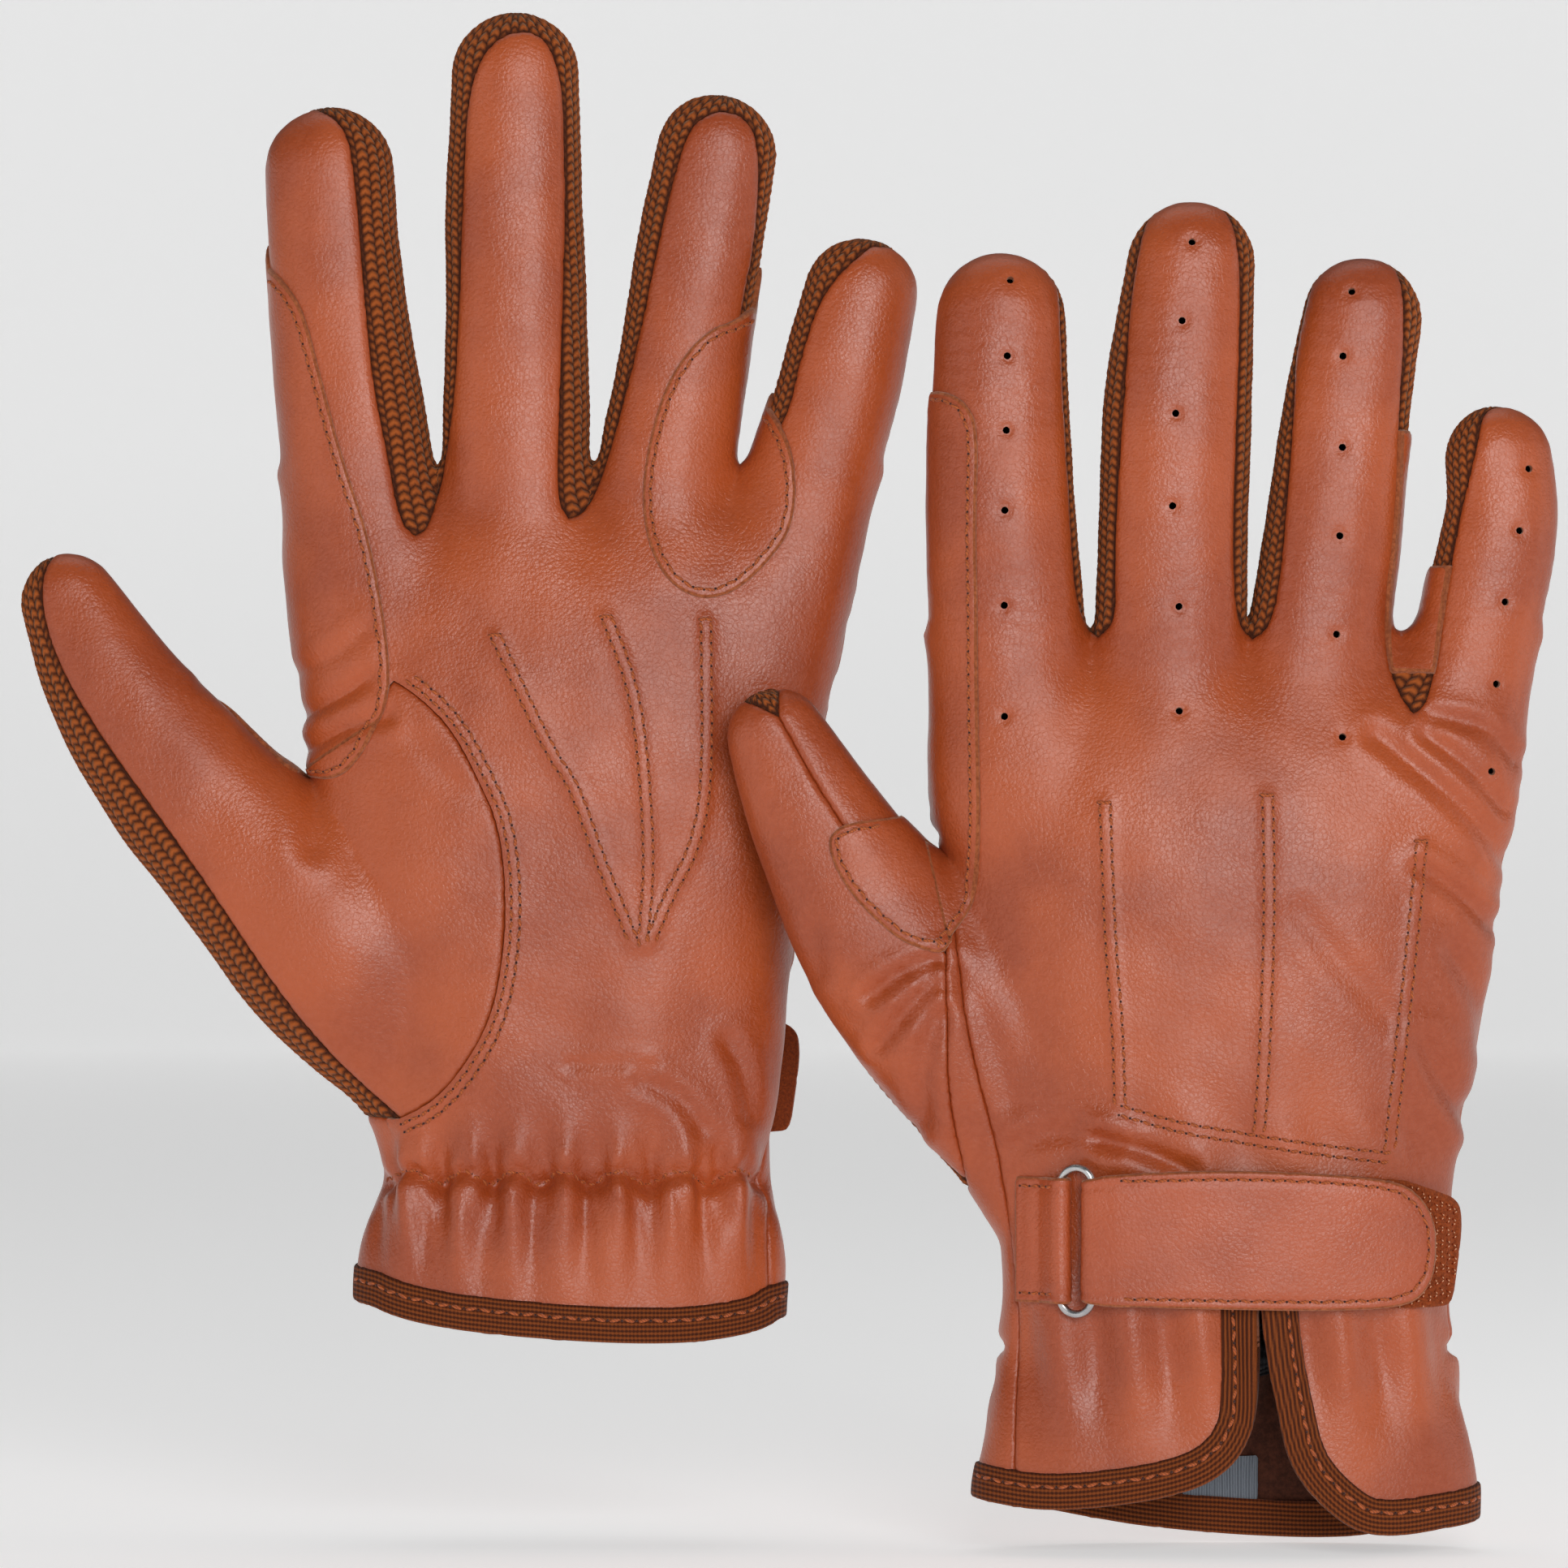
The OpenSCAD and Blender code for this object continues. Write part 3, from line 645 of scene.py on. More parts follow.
@dataclass
class HandForm:
    """The soft volume that fills a glove."""

    digits: dict[str, Rows]
    palm: Rows
    step: float = 1.0
    low: tuple[float, float, float] = (-113.0, -25.0, -14.0)
    high: tuple[float, float, float] = (73.0, 25.0, 251.0)
    roundness: float = 2.4
    finger_depth: float = 0.84
    thumb_depth: float = 0.74
    blend: float = 5.0
    axes: dict[str, np.ndarray] = field(default_factory=dict)

    def __post_init__(self) -> None:
        """Rounds the digits' axes."""
        self.axes = {name: soften(rows, 3) for name, rows in self.digits.items()}

    def beside(self, name: str, x: np.ndarray, z: np.ndarray) -> tuple[np.ndarray, ...]:
        """Where points lie beside a digit's axis.

        Args:
            name: the digit.
            x: the points' x.
            z: the points' z.

        Returns:
            Distance beyond the outline, radius, middle y, length along, and
            signed distance to the side.
        """
        rows = self.axes[name]
        best = np.full(x.shape, 1e9)
        out = [np.zeros(x.shape) for _ in range(4)]
        run = 0.0
        for i, (a, b) in enumerate(zip(rows[:-1], rows[1:])):
            dx, dz = b[0] - a[0], b[1] - a[1]
            length = math.hypot(dx, dz)
            free = ((x - a[0]) * dx + (z - a[1]) * dz) / length ** 2
            t = np.clip(free, 0, 1)
            r = a[2] + t * (b[2] - a[2])
            gap = np.hypot(x - a[0] - t * dx, z - a[1] - t * dz) - r
            nearer = gap < best
            best = np.where(nearer, gap, best)
            along = run + (free if i in (0, len(rows) - 2) else t) * length
            side = ((x - a[0]) * dz - (z - a[1]) * dx) / length
            for k, v in enumerate((r, a[3] + t * (b[3] - a[3]), along, side)):
                out[k] = np.where(nearer, v, out[k])
            run += length
        return best, *out

    def skin(self) -> Skin:
        """The form's surface, facing out."""
        s = self.step
        xs, ys, zs = (np.arange(a, b + s / 2, s) for a, b in zip(self.low, self.high))
        x, z = np.meshgrid(xs, zs, indexing="ij")
        y = ys[None, :, None].astype(np.float32)
        p = self.roundness
        digits = np.full((len(xs), len(ys), len(zs)), 1e9, np.float32)
        for name in self.axes:
            gap, r, middle, _, _ = self.beside(name, x, z)
            wide = gap < 16
            ix, iz = np.nonzero(wide)
            i0, i1, k0, k1 = ix.min(), ix.max() + 1, iz.min(), iz.max() + 1
            g, r, m = (v[i0:i1, None, k0:k1].astype(np.float32) for v in (gap, r, middle))
            depth = r * (self.thumb_depth if name == "thumb" else self.finger_depth)
            f = r * ((((g + r) / r) ** p + (np.abs(y - m) / depth) ** p) ** (1 / p) - 1)
            part = digits[i0:i1, :, k0:k1]
            np.minimum(part, f, out=part)
        rows = soften(self.palm)
        cx, a, b = (np.interp(zs, rows[:, 1], rows[:, k]).astype(np.float32) for k in (0, 2, 3))
        norm = ((np.abs(x.astype(np.float32) - cx) / a)[:, None, :] ** p
                + (np.abs(y) / b) ** p) ** (1 / p)
        body = np.minimum(a, b) * (norm - 1)
        body = np.maximum(body, (zs - self.palm[-1][1]).astype(np.float32))
        near = np.clip(self.blend - np.abs(body - digits), 0, None) / self.blend
        volume = np.minimum(body, digits) - near ** 2 * self.blend * 0.25
        volume[:, :, 0] = np.maximum(volume[:, :, 0], 0.5)
        skin = surface_net(volume, np.array([xs[0], ys[0], zs[0]]), s)
        a, b, c = (skin.points[skin.tris[:, i]] for i in range(3))
        if np.einsum("ij,ij->", a, np.cross(b, c)) < 0:
            skin.tris = skin.tris[:, ::-1].copy()
        skin.smooth(3, 0.6)
        return skin


# Sewing pattern


@dataclass
class Pattern:
    """Where the seams, patches and edges of one glove run."""

    hand: Hand
    form: HandForm
    hidden_inset: float = 2.2
    gather_z: float = 26.6
    gather_pitch: float = 10.2
    limit: float = 8.0

    def palm_line(self, line: Line) -> np.ndarray:
        """A line drawn on the left glove's palm, as it runs on this glove."""
        return soften(line) if self.hand is Hand.LEFT else carry(line, Hand.RIGHT)

    def back_line(self, line: Line) -> np.ndarray:
        """A line drawn on the right glove's back, as it runs on this glove."""
        return soften(line) if self.hand is Hand.RIGHT else carry(line, Hand.LEFT)

    def hem_lines(self) -> tuple[np.ndarray, np.ndarray, np.ndarray]:
        """The palm's hem, and the slit's two edges in the back."""
        if self.hand is Hand.RIGHT:
            return soften(PALM_HEM_RIGHT), soften(SLIT_OUTER), soften(SLIT_INNER)
        scale = np.array([0.86, 0.9])
        return soften(PALM_HEM_LEFT), soften(SLIT_OUTER) * scale, soften(SLIT_INNER) * scale

    def meet(self, y: np.ndarray, palm: np.ndarray | float, back: np.ndarray | float) -> np.ndarray:
        """Runs a value drawn on the palm side into the one on the back side.

        Args:
            y: the points' y.
            palm: the value on the palm side.
            back: the value on the back side.

        Returns:
            The value round the whole glove.
        """
        t = smoothstep(-3, 3, y)
        low = np.clip(palm, -self.limit, self.limit)
        high = np.clip(back, -self.limit, self.limit)
        return low * (1 - t) + high * t

    def knit_between(self, x: np.ndarray, z: np.ndarray, inset: float) -> np.ndarray:
        """How deep a point lies in the knit between two fingers, on a hidden side."""
        gap = np.min([self.form.beside(n, x, z)[0] for n in ("index", "middle", "ring", "little")], 0)
        index, little = self.form.axes["index"], self.form.axes["little"]
        inner = np.minimum(x - np.interp(z, index[:, 1], index[:, 0]),
                           np.interp(z, little[:, 1], little[:, 0]) - x)
        foot = np.interp(x, (-28, 2, 32), (150, 152, 146))
        return np.minimum(np.minimum(gap + inset, inner), z - foot)

    def panels(self, p: np.ndarray) -> dict[str, np.ndarray]:
        """Signed distances into each panel and patch.

        Args:
            p: points on the skin.

        Returns:
            Panel name to distance, positive inside.
        """
        x, y, z = p.T
        left = self.hand is Hand.LEFT
        side, thenar = self.palm_line(SIDE_SEAM), self.palm_line(THENAR)
        thumb_in, thumb_out = self.palm_line(THUMB_INNER), self.palm_line(THUMB_KNIT)
        top = (soften(INDEX_KNIT), soften(MIDDLE_KNIT), soften(RING_KNIT), soften(LITTLE_KNIT),
               (120, 201)) if left else ((-120, 300), (120, 300))
        palm = outline_distance(outline(
            *top, (120, side[0, 1]), side, (side[-1, 0], -60), (-120, -60), (-120, thenar[0, 1]),
            thenar, thumb_in, (-120, 175), (-120, 227.4)), x, z)
        thumb_front = outline_distance(outline(
            thumb_out, thenar, thumb_in, thumb_in[-1] + (-2, 20), thumb_out[0] + (-1, 20)), x, z)
        side_wrap = outline_distance(outline(side, (side[-1, 0], -60), (120, -60), (120, side[0, 1])), x, z)

        seam, hand = self.back_line(BACK_SIDE_SEAM), self.back_line(THUMB_HAND_SEAM)
        thumb_seam, tip = self.back_line(THUMB_BACK_SEAM), self.back_line(THUMB_TIP_KNIT)
        crest = self.back_line(THUMB_SILHOUETTE)
        top = ((-120, 300), (-33.4, 300), soften(INDEX_BACK), soften(MIDDLE_BACK_OUTER),
               (-15, 270), (-0.3, 270),
               soften(MIDDLE_BACK_INNER), soften(RING_BACK_OUTER), (14.3, 270), (31.9, 270),
               soften(RING_BACK_INNER), soften(LITTLE_BACK), (50.2, 270)) if not left else ((-120, 300),)
        back = outline_distance(outline(
            *top, (120, 300 if left else 270), (120, -60), (seam[-1, 0], -60), seam[::-1], crest,
            (-120, 175)), x, z)
        thumb_back = outline_distance(outline(
            tip, thumb_seam, hand, hand[-1] + (-6, -14), (-120, 30), (-120, tip[0, 1])), x, z)
        thumb_wrap = outline_distance(outline(thumb_seam, seam[0], crest, (thumb_seam[0, 0], 170)), x, z)
        palm_wrap = outline_distance(outline(
            hand, hand[-1] + (-6, -14), (-120, 30), (-120, -60), (seam[-1, 0], -60), seam[::-1]), x, z)
        if left:
            back = np.minimum(back, -self.knit_between(x, z, self.hidden_inset))
            knit = self.knit_between(x, z, self.hidden_inset)
        else:
            knit = -back
            palm = np.minimum(palm, -self.knit_between(x, z, self.hidden_inset + 2))
        out = {
            "palm_panel": self.meet(y, palm, palm_wrap),
            "thumb_front": self.meet(y, thumb_front, thumb_wrap),
            "thumb_back": self.meet(y, -self.limit, thumb_back),
            "back_panel": self.meet(y, side_wrap, back),
        }
        return out | self.patches(x, y, z, knit) | self.hem(x, y, z)

    def patches(self, x: np.ndarray, y: np.ndarray, z: np.ndarray,
                knit: np.ndarray) -> dict[str, np.ndarray]:
        """Signed distances into the sewn-on patches.

        Args:
            x: the points' x.
            y: the points' y.
            z: the points' z.
            knit: how deep they lie in the back's knit.

        Returns:
            Patch name to distance, positive inside.
        """
        index_p, index_b = self.palm_line(INDEX_PATCH_PALM), self.back_line(INDEX_PATCH_BACK)
        web_p, web_b = self.palm_line(WEB_PALM), self.back_line(WEB_BACK)
        crotch = np.array((-48.6, 103.7) if self.hand is Hand.LEFT else (-52, 119))
        index = self.meet(
            y,
            outline_distance(outline(index_p, crotch + (0, -1), crotch + (-14, 42), (-120, 205)), x, z),
            outline_distance(outline(index_b, crotch + (0, -12), crotch + (-14, 42), (-120, 209.5)), x, z))
        web = self.meet(
            y,
            outline_distance(outline(web_p, web_p[-1] + (4, 22), crotch + (-4, 26), crotch + (12, 9)), x, z),
            outline_distance(outline(web_b, web_b[-1] + (10, 1), crotch + (2, 16), crotch + (1, -12)), x, z))
        u = self.palm_line(U_PATCH)
        around = outline_distance(outline(u, (37, 178)), x, z)
        ring, little = (self.form.beside(n, x, z) for n in ("ring", "little"))
        inner = np.minimum(np.minimum(ring[4], -little[4] + 1), knit + 0.5)
        top = np.where(ring[0] < little[0], u[0, 1] + 8, u[-1, 1] + 3)
        sides = np.minimum(np.minimum(inner, z - u[:, 1].min() - 20), top - z)
        return {"index_patch": index, "web_patch": web,
                "ring_little_patch": self.meet(y, around, np.minimum(sides, 4))}

    def hem(self, x: np.ndarray, y: np.ndarray, z: np.ndarray) -> dict[str, np.ndarray]:
        """Distance from the glove's free edge, and places for what lies inside the cuff."""
        palm, outer, inner = self.hem_lines()
        frame_top = ((160, 300), (-160, 300))
        front = outline_distance(outline((-160, palm[0, 1]), palm, (160, palm[-1, 1]), *frame_top), x, z)
        flaps = outline((-160, outer[0, 1]), outer, inner, (160, inner[-1, 1]), *frame_top)
        back = outline_distance(flaps, x, z)
        t = smoothstep(-5, 5, y)
        edge = np.clip(front, -20, 20) * (1 - t) + np.clip(back, -20, 20) * t
        inside_palm = np.clip(-y - 2, -8, 8)
        band = 4.5 - np.abs(z - self.gather_z)
        label = np.minimum(7 - np.abs(x), 4.4 - np.abs(z - 5.6))
        return {"hem": edge, "wrist_elastic": np.minimum(band, inside_palm),
                "size_label": np.minimum(label, inside_palm)}

    def relief(self, p: np.ndarray) -> np.ndarray:
        """How far creases, gathers and folds lift or press the leather.

        Args:
            p: points on the skin.

        Returns:
            The lift along the normal.
        """
        x, y, z = p.T
        back = smoothstep(-4, 4, y)
        palm = 1 - back
        lift = np.zeros(len(p))
        for creases, face, draw in ((PALM_CREASES, palm, self.palm_line),
                                    (BACK_CREASES, back, self.back_line)):
            for line, depth, width in creases:
                d = line_distance(draw(line), x, z)
                lift -= face * depth * (bell(d, width) - 0.45 * bell(d - 2.1 * width, width))
        zg = self.gather_z
        above = bell(np.clip(z - zg, 0, None), 8.0) * bell(np.clip(zg - z, 0, None), 15.0)
        bend = 0.8 * np.sin(z / 7.0) + 1.1 * np.sin(x / 9.0 + 1.0)
        wave = np.cos(2 * math.pi * (x + bend) / self.gather_pitch)
        fine = np.cos(2 * math.pi * (x - bend) / (self.gather_pitch * 0.47) + 1.0)
        sharp = np.sign(wave) * np.abs(wave) ** 0.8
        pleat = 1.75 * sharp * above + 0.6 * fine * above ** 2
        lift += palm * (pleat - 2.3 * bell(z - zg - 1.3 * wave, 1.6))
        cuff = bell(z - 33, 13.0) * np.cos(2 * math.pi * x / 13.0 + 0.05 * z + 0.8)
        rise = bell(z - 71, 6.0) * np.cos(2 * math.pi * x / 16.0 + 0.12 * z)
        lift += back * (1.5 * cuff + 0.6 * rise)
        lift -= palm * 0.5 * bell(z - 55, 10.0) * np.cos(2 * math.pi * x / 27.0)
        mount = np.exp(-(((x + 40) / 20) ** 2 + ((z - (78 if self.hand is Hand.LEFT else 92)) / 26) ** 2))
        lift += palm * 2.6 * mount
        for rows, face, draw in ((DARTS, palm, self.palm_line), (POINTS, back, self.back_line)):
            for line in rows:
                d = line_distance(draw(line), x, z)
                lift += face * 0.55 * bell(d, 1.25)
        ripple = (np.sin(x / 5.1 + np.sin(z / 9.0)) * np.sin(z / 6.3 + 0.7 * np.sin(x / 7.0))
                  + 0.5 * np.sin(x / 2.3 + z / 4.1) * np.sin(z / 3.1 - x / 6.2))
        lift += 0.13 * ripple
        finger = smoothstep(150, 170, z)
        lift += back * finger * 0.06 * np.sin(z * 1.9 + 1.3 * np.sin(x / 3.0)) * (0.6 + 0.4 * np.sin(z / 8.0))
        return lift


# Finishes


class Nodes:
    """Builds one material's node tree."""

    def __init__(self, name: str) -> None:
        """Starts an empty material with its shader."""
        self.material = bpy.data.materials.new(name)
        self.material.use_nodes = True
        self.tree = self.material.node_tree
        self.tree.nodes.clear()
        out = self.add("ShaderNodeOutputMaterial")
        self.shader = self.add("ShaderNodeBsdfPrincipled")
        self.tree.links.new(self.shader.outputs[0], out.inputs[0])
        self.place = self.add("ShaderNodeTexCoord").outputs["Object"]

    def add(self, kind: str, **settings: object) -> bpy.types.Node:
        """Adds a node and sets its properties and sockets.

        Args:
            kind: the node's type.
            settings: properties, or input sockets by name.

        Returns:
            The node.
        """
        node = self.tree.nodes.new(kind)
        for key, value in settings.items():
            name = key.replace("_", " ")
            if hasattr(node, key):
                setattr(node, key, value)
            elif isinstance(value, bpy.types.NodeSocket):
                self.tree.links.new(value, node.inputs[name])
            else:
                node.inputs[name].default_value = value
        return node

    def math(self, operation: str, a: object, b: object = 0.0) -> bpy.types.NodeSocket:
        """The result of a sum, product or other operation on two values."""
        node = self.add("ShaderNodeMath", operation=operation)
        for socket, value in zip(node.inputs, (a, b)):
            if isinstance(value, bpy.types.NodeSocket):
                self.tree.links.new(value, socket)
            else:
                socket.default_value = value
        return node.outputs[0]

    def noise(self, scale: float, detail: float = 3.0, rough: float = 0.5) -> bpy.types.NodeSocket:
        """A cloudy pattern from 0 to 1."""
        return self.add("ShaderNodeTexNoise", Vector=self.place, Scale=scale, Detail=detail,
                        Roughness=rough).outputs[0]

    def cells(self, scale: float, feature: str = "F1") -> bpy.types.NodeSocket:
        """The distance to the nearest cell's middle, or to its edge."""
        node = self.add("ShaderNodeTexVoronoi", feature=feature, Vector=self.place, Scale=scale)
        return node.outputs["Distance"]

    def attribute(self, name: str) -> bpy.types.NodeSocket:
        """A value kept on the piece's own points."""
        return self.add("ShaderNodeAttribute", attribute_name=name).outputs["Fac"]

    def mix(self, share: object, a: object, b: object) -> bpy.types.NodeSocket:
        """A blend of two colours."""
        node = self.add("ShaderNodeMix", data_type="RGBA")
        for socket, value in zip((node.inputs[0], node.inputs[6], node.inputs[7]), (share, a, b)):
            if isinstance(value, bpy.types.NodeSocket):
                self.tree.links.new(value, socket)
            else:
                socket.default_value = (*value, 1) if isinstance(value, tuple) else value
        return node.outputs[2]

    def ramp(self, value: bpy.types.NodeSocket, low: float, high: float,
             start: float = 0.0, end: float = 1.0) -> bpy.types.NodeSocket:
        """A value mapped from low..high to start..end, softly."""
        node = self.add("ShaderNodeMapRange", interpolation_type="SMOOTHSTEP")
        self.tree.links.new(value, node.inputs[0])
        for i, v in enumerate((low, high, start, end)):
            node.inputs[i + 1].default_value = v
        return node.outputs[0]

    def finish(self, colour: object, rough: object, height: bpy.types.NodeSocket | None = None,
               depth: float = 0.1, strength: float = 1.0, **fixed: object) -> bpy.types.Material:
        """Sets the shader.

        Args:
            colour: the base colour, or its socket.
            rough: the roughness, or its socket.
            height: the relief's socket.
            depth: the relief's depth in mm.
            strength: the relief's strength.
            fixed: the shader's other sockets, as constants.

        Returns:
            The material.
        """
        for name, value in (("Base Color", colour), ("Roughness", rough)):
            if isinstance(value, bpy.types.NodeSocket):
                self.tree.links.new(value, self.shader.inputs[name])
            else:
                self.shader.inputs[name].default_value = (*value, 1) if isinstance(value, tuple) else value
        if height is not None:
            bump = self.add("ShaderNodeBump", Strength=strength, Distance=depth * MM)
            self.tree.links.new(height, bump.inputs["Height"])
            self.tree.links.new(bump.outputs[0], self.shader.inputs["Normal"])
        for name, value in fixed.items():
            socket = self.shader.inputs[name.replace("_", " ")]
            socket.default_value = (*value, 1) if isinstance(value, tuple) else value
        return self.material


@dataclass(frozen=True)
class Leather:
    """Smooth aniline leather with a fine pebble grain."""

    name: str = "cognac_leather"
    light: tuple[float, float, float] = (0.465, 0.084, 0.016)
    # dark is the darker random tone, and also the painted shade at the edges
    dark: tuple[float, float, float] = (0.345, 0.054, 0.009)
    worn: tuple[float, float, float] = (0.52, 0.13, 0.06)
    roughness: float = 0.37

    def material(self) -> bpy.types.Material:
        """The leather's nodes."""
        n = Nodes(self.name)
        grain = n.cells(1500.0)
        crackle = n.cells(1000.0, "DISTANCE_TO_EDGE")
        cloud = n.noise(34.0, 4.0)
        tone = n.mix(n.ramp(cloud, 0.36, 0.66), self.dark, self.light)
        speck = n.ramp(n.noise(900.0, 2.0), 0.35, 0.7)
        tone = n.mix(n.math("MULTIPLY", speck, 0.16), tone, self.worn)
        # Darker towards each piece's edge, where the leather rolls down into a seam or over its cut edge:
        # painted shade.
        edge = n.ramp(n.attribute("rim"), 0.25, 1.5, 0.42, 0.0)
        tone = n.mix(edge, tone, self.dark)
        valleys = n.math("MULTIPLY", n.ramp(crackle, 0.0, 0.14), 0.28)
        height = n.math("ADD", n.math("ADD", n.math("MULTIPLY", grain, -0.9), valleys),
                        n.math("MULTIPLY", n.noise(2600.0, 2.0), 0.35))
        patchy = n.ramp(n.noise(60.0, 3.0), 0.3, 0.75, self.roughness - 0.05, self.roughness + 0.09)
        return n.finish(tone, patchy, height, 0.10, 0.85, Coat_Weight=0.2, Coat_Roughness=0.31,
                        Sheen_Weight=0.02, Sheen_Roughness=0.45, Sheen_Tint=(1.0, 0.74, 0.62),
                        Specular_IOR_Level=0.5)


@dataclass(frozen=True)
class Nap:
    """A fuzzy cut edge, the suede inside, or loop pile."""

    name: str
    light: tuple[float, float, float]
    dark: tuple[float, float, float]
    scale: float = 1500.0
    depth: float = 0.15
    sheen: float = 0.35

    def material(self) -> bpy.types.Material:
        """The nap's nodes."""
        n = Nodes(self.name)
        fibre = n.noise(self.scale, 5.0, 0.7)
        cloud = n.noise(120.0, 3.0)
        tone = n.mix(n.ramp(fibre, 0.32, 0.68), self.dark, self.light)
        tone = n.mix(n.math("MULTIPLY", n.ramp(cloud, 0.4, 0.7), 0.35), tone, self.dark)
        return n.finish(tone, 0.93, fibre, self.depth, 1.0, Sheen_Weight=self.sheen,
                        Sheen_Roughness=0.5, Sheen_Tint=(1.0, 0.8, 0.65), Specular_IOR_Level=0.2)


@dataclass(frozen=True)
class Knit:
    """Chunky knitted yarn: the loops are in the mesh, the fibres here, with painted shade in the gaps between
    loops and towards the strip's edges.
    """

    name: str = "rust_yarn"
    light: tuple[float, float, float] = (0.38, 0.088, 0.015)
    # dark is the painted shade in the gaps between loops
    dark: tuple[float, float, float] = (0.050, 0.010, 0.0025)

    def material(self) -> bpy.types.Material:
        """The yarn's nodes."""
        n = Nodes(self.name)
        column = n.math("DIVIDE", n.attribute("across"), YARN_PITCH)
        nearest = n.math("ROUND", column)
        place = n.math("ABSOLUTE", n.math("SUBTRACT", column, nearest))
        arch = n.math("SUBTRACT", 1.0, n.math("POWER", n.math("MULTIPLY", place, 1.9), 2.0))
        arch = n.math("SQRT", n.math("MAXIMUM", arch, 0.0))
        odd = n.math("MULTIPLY", n.math("FLOORED_MODULO", nearest, 2.0), 0.5)
        phase = n.math("ADD", n.math("ADD", n.math("DIVIDE", n.attribute("along"), LOOP_PITCH), odd),
                       n.math("MULTIPLY", place, 0.75))
        beat = n.math("COSINE", n.math("MULTIPLY", phase, 2 * math.pi))
        beat = n.math("ADD", n.math("MULTIPLY", beat, 0.5), 0.5)
        beat = n.math("ADD", n.math("MULTIPLY", n.math("POWER", beat, 0.7), 0.7), 0.3)
        loop = n.math("MULTIPLY", n.math("MULTIPLY", arch, beat), n.attribute("fade"))
        fibre = n.noise(3800.0, 3.0, 0.65)
        loop_shade_and_fibre = n.math("ADD", loop, n.math("MULTIPLY", n.math("SUBTRACT", fibre, 0.5), 0.5))
        # Near-black in the gaps between loops and columns and where the loops fade at the edges, lighter on
        # the loop tops: painted shade.
        tone = n.mix(n.ramp(loop_shade_and_fibre, 0.12, 0.95), self.dark, self.light)
        height = n.math("ADD", loop, n.math("MULTIPLY", fibre, 0.16))
        return n.finish(tone, 0.88, height, 0.62, 0.9, Sheen_Weight=0.18, Sheen_Roughness=0.4,
                        Sheen_Tint=(1.0, 0.7, 0.45), Specular_IOR_Level=0.25)


@dataclass(frozen=True)
class RibbedTape:
    """Woven or knitted tape with ribs along it, with painted shade in its grooves."""

    name: str
    light: tuple[float, float, float]
    # dark is the painted shade in the grooves
    dark: tuple[float, float, float]
    ribs: float = 0.85
    sheen: float = 0.25

    def material(self) -> bpy.types.Material:
        """The tape's nodes."""
        n = Nodes(self.name)
        turn = n.math("MULTIPLY", n.attribute("across"), 2 * math.pi / self.ribs)
        rib = n.math("MULTIPLY", n.math("ADD", n.math("SINE", turn), 1.0), 0.5)
        weft = n.add("ShaderNodeTexWave", wave_type="BANDS", bands_direction="X", Vector=n.place,
                     Scale=430.0, Distortion=2.0, Detail=2.0).outputs[0]
        fibre = n.noise(3000.0, 3.0, 0.6)
        woven = n.math("ADD", rib, n.math("MULTIPLY", weft, 0.5))
        height = n.math("ADD", woven, n.math("MULTIPLY", fibre, 0.6))
        # The colour follows the rib and weave height, darker in the grooves: painted shade.
        tone = n.mix(n.ramp(height, 0.5, 1.7), self.dark, self.light)
        return n.finish(tone, 0.82, height, 0.16, 0.9, Sheen_Weight=self.sheen, Sheen_Roughness=0.4,
                        Specular_IOR_Level=0.2)


@dataclass(frozen=True)
class Thread:
    """Twisted sewing thread with painted shade in its twist, or the painted shade of a needle hole beside it.
    """

    name: str
    light: tuple[float, float, float]
    # dark is the painted shade in the twist's grooves
    dark: tuple[float, float, float]
    roughness: float = 0.6

    def material(self) -> bpy.types.Material:
        """The thread's nodes."""
        n = Nodes(self.name)
        twist = n.add("ShaderNodeTexWave", wave_type="BANDS", bands_direction="DIAGONAL", Vector=n.place,
                      Scale=900.0, Distortion=1.0).outputs[0]
        # The colour follows the twist, darker in its grooves: painted shade.
        tone = n.mix(n.ramp(twist, 0.1, 0.8), self.dark, self.light)
        return n.finish(tone, self.roughness, twist, 0.05, 0.6, Sheen_Weight=0.15,
                        Specular_IOR_Level=0.4)


@dataclass(frozen=True)
class Hooks:
    """Moulded hooks: the stems take the tape's colour and the tips are paler."""

    name: str = "hook_tips"
    stem: tuple[float, float, float] = (0.42, 0.06, 0.008)
    tip: tuple[float, float, float] = (0.80, 0.42, 0.24)

    def material(self) -> bpy.types.Material:
        """The hooks' nodes."""
        n = Nodes(self.name)
        wear = n.noise(1700.0, 2.0)
        share = n.ramp(n.math("ADD", n.attribute("tip"), n.math("MULTIPLY", wear, 0.4)), 0.75, 1.25)
        return n.finish(n.mix(share, self.stem, self.tip), 0.45, wear, 0.03, 0.4)


@dataclass(frozen=True)
class Steel:
    """Plated wire with fine draw marks."""

    name: str = "plated_wire"
    colour: tuple[float, float, float] = (0.60, 0.60, 0.60)

    def material(self) -> bpy.types.Material:
        """The wire's nodes."""
        n = Nodes(self.name)
        scuff = n.noise(1400.0, 3.0)
        tone = n.mix(n.ramp(n.noise(300.0), 0.35, 0.7), self.colour, (0.42, 0.42, 0.43))
        return n.finish(tone, n.ramp(scuff, 0.3, 0.7, 0.2, 0.36), scuff, 0.02, 0.4, Metallic=1.0)


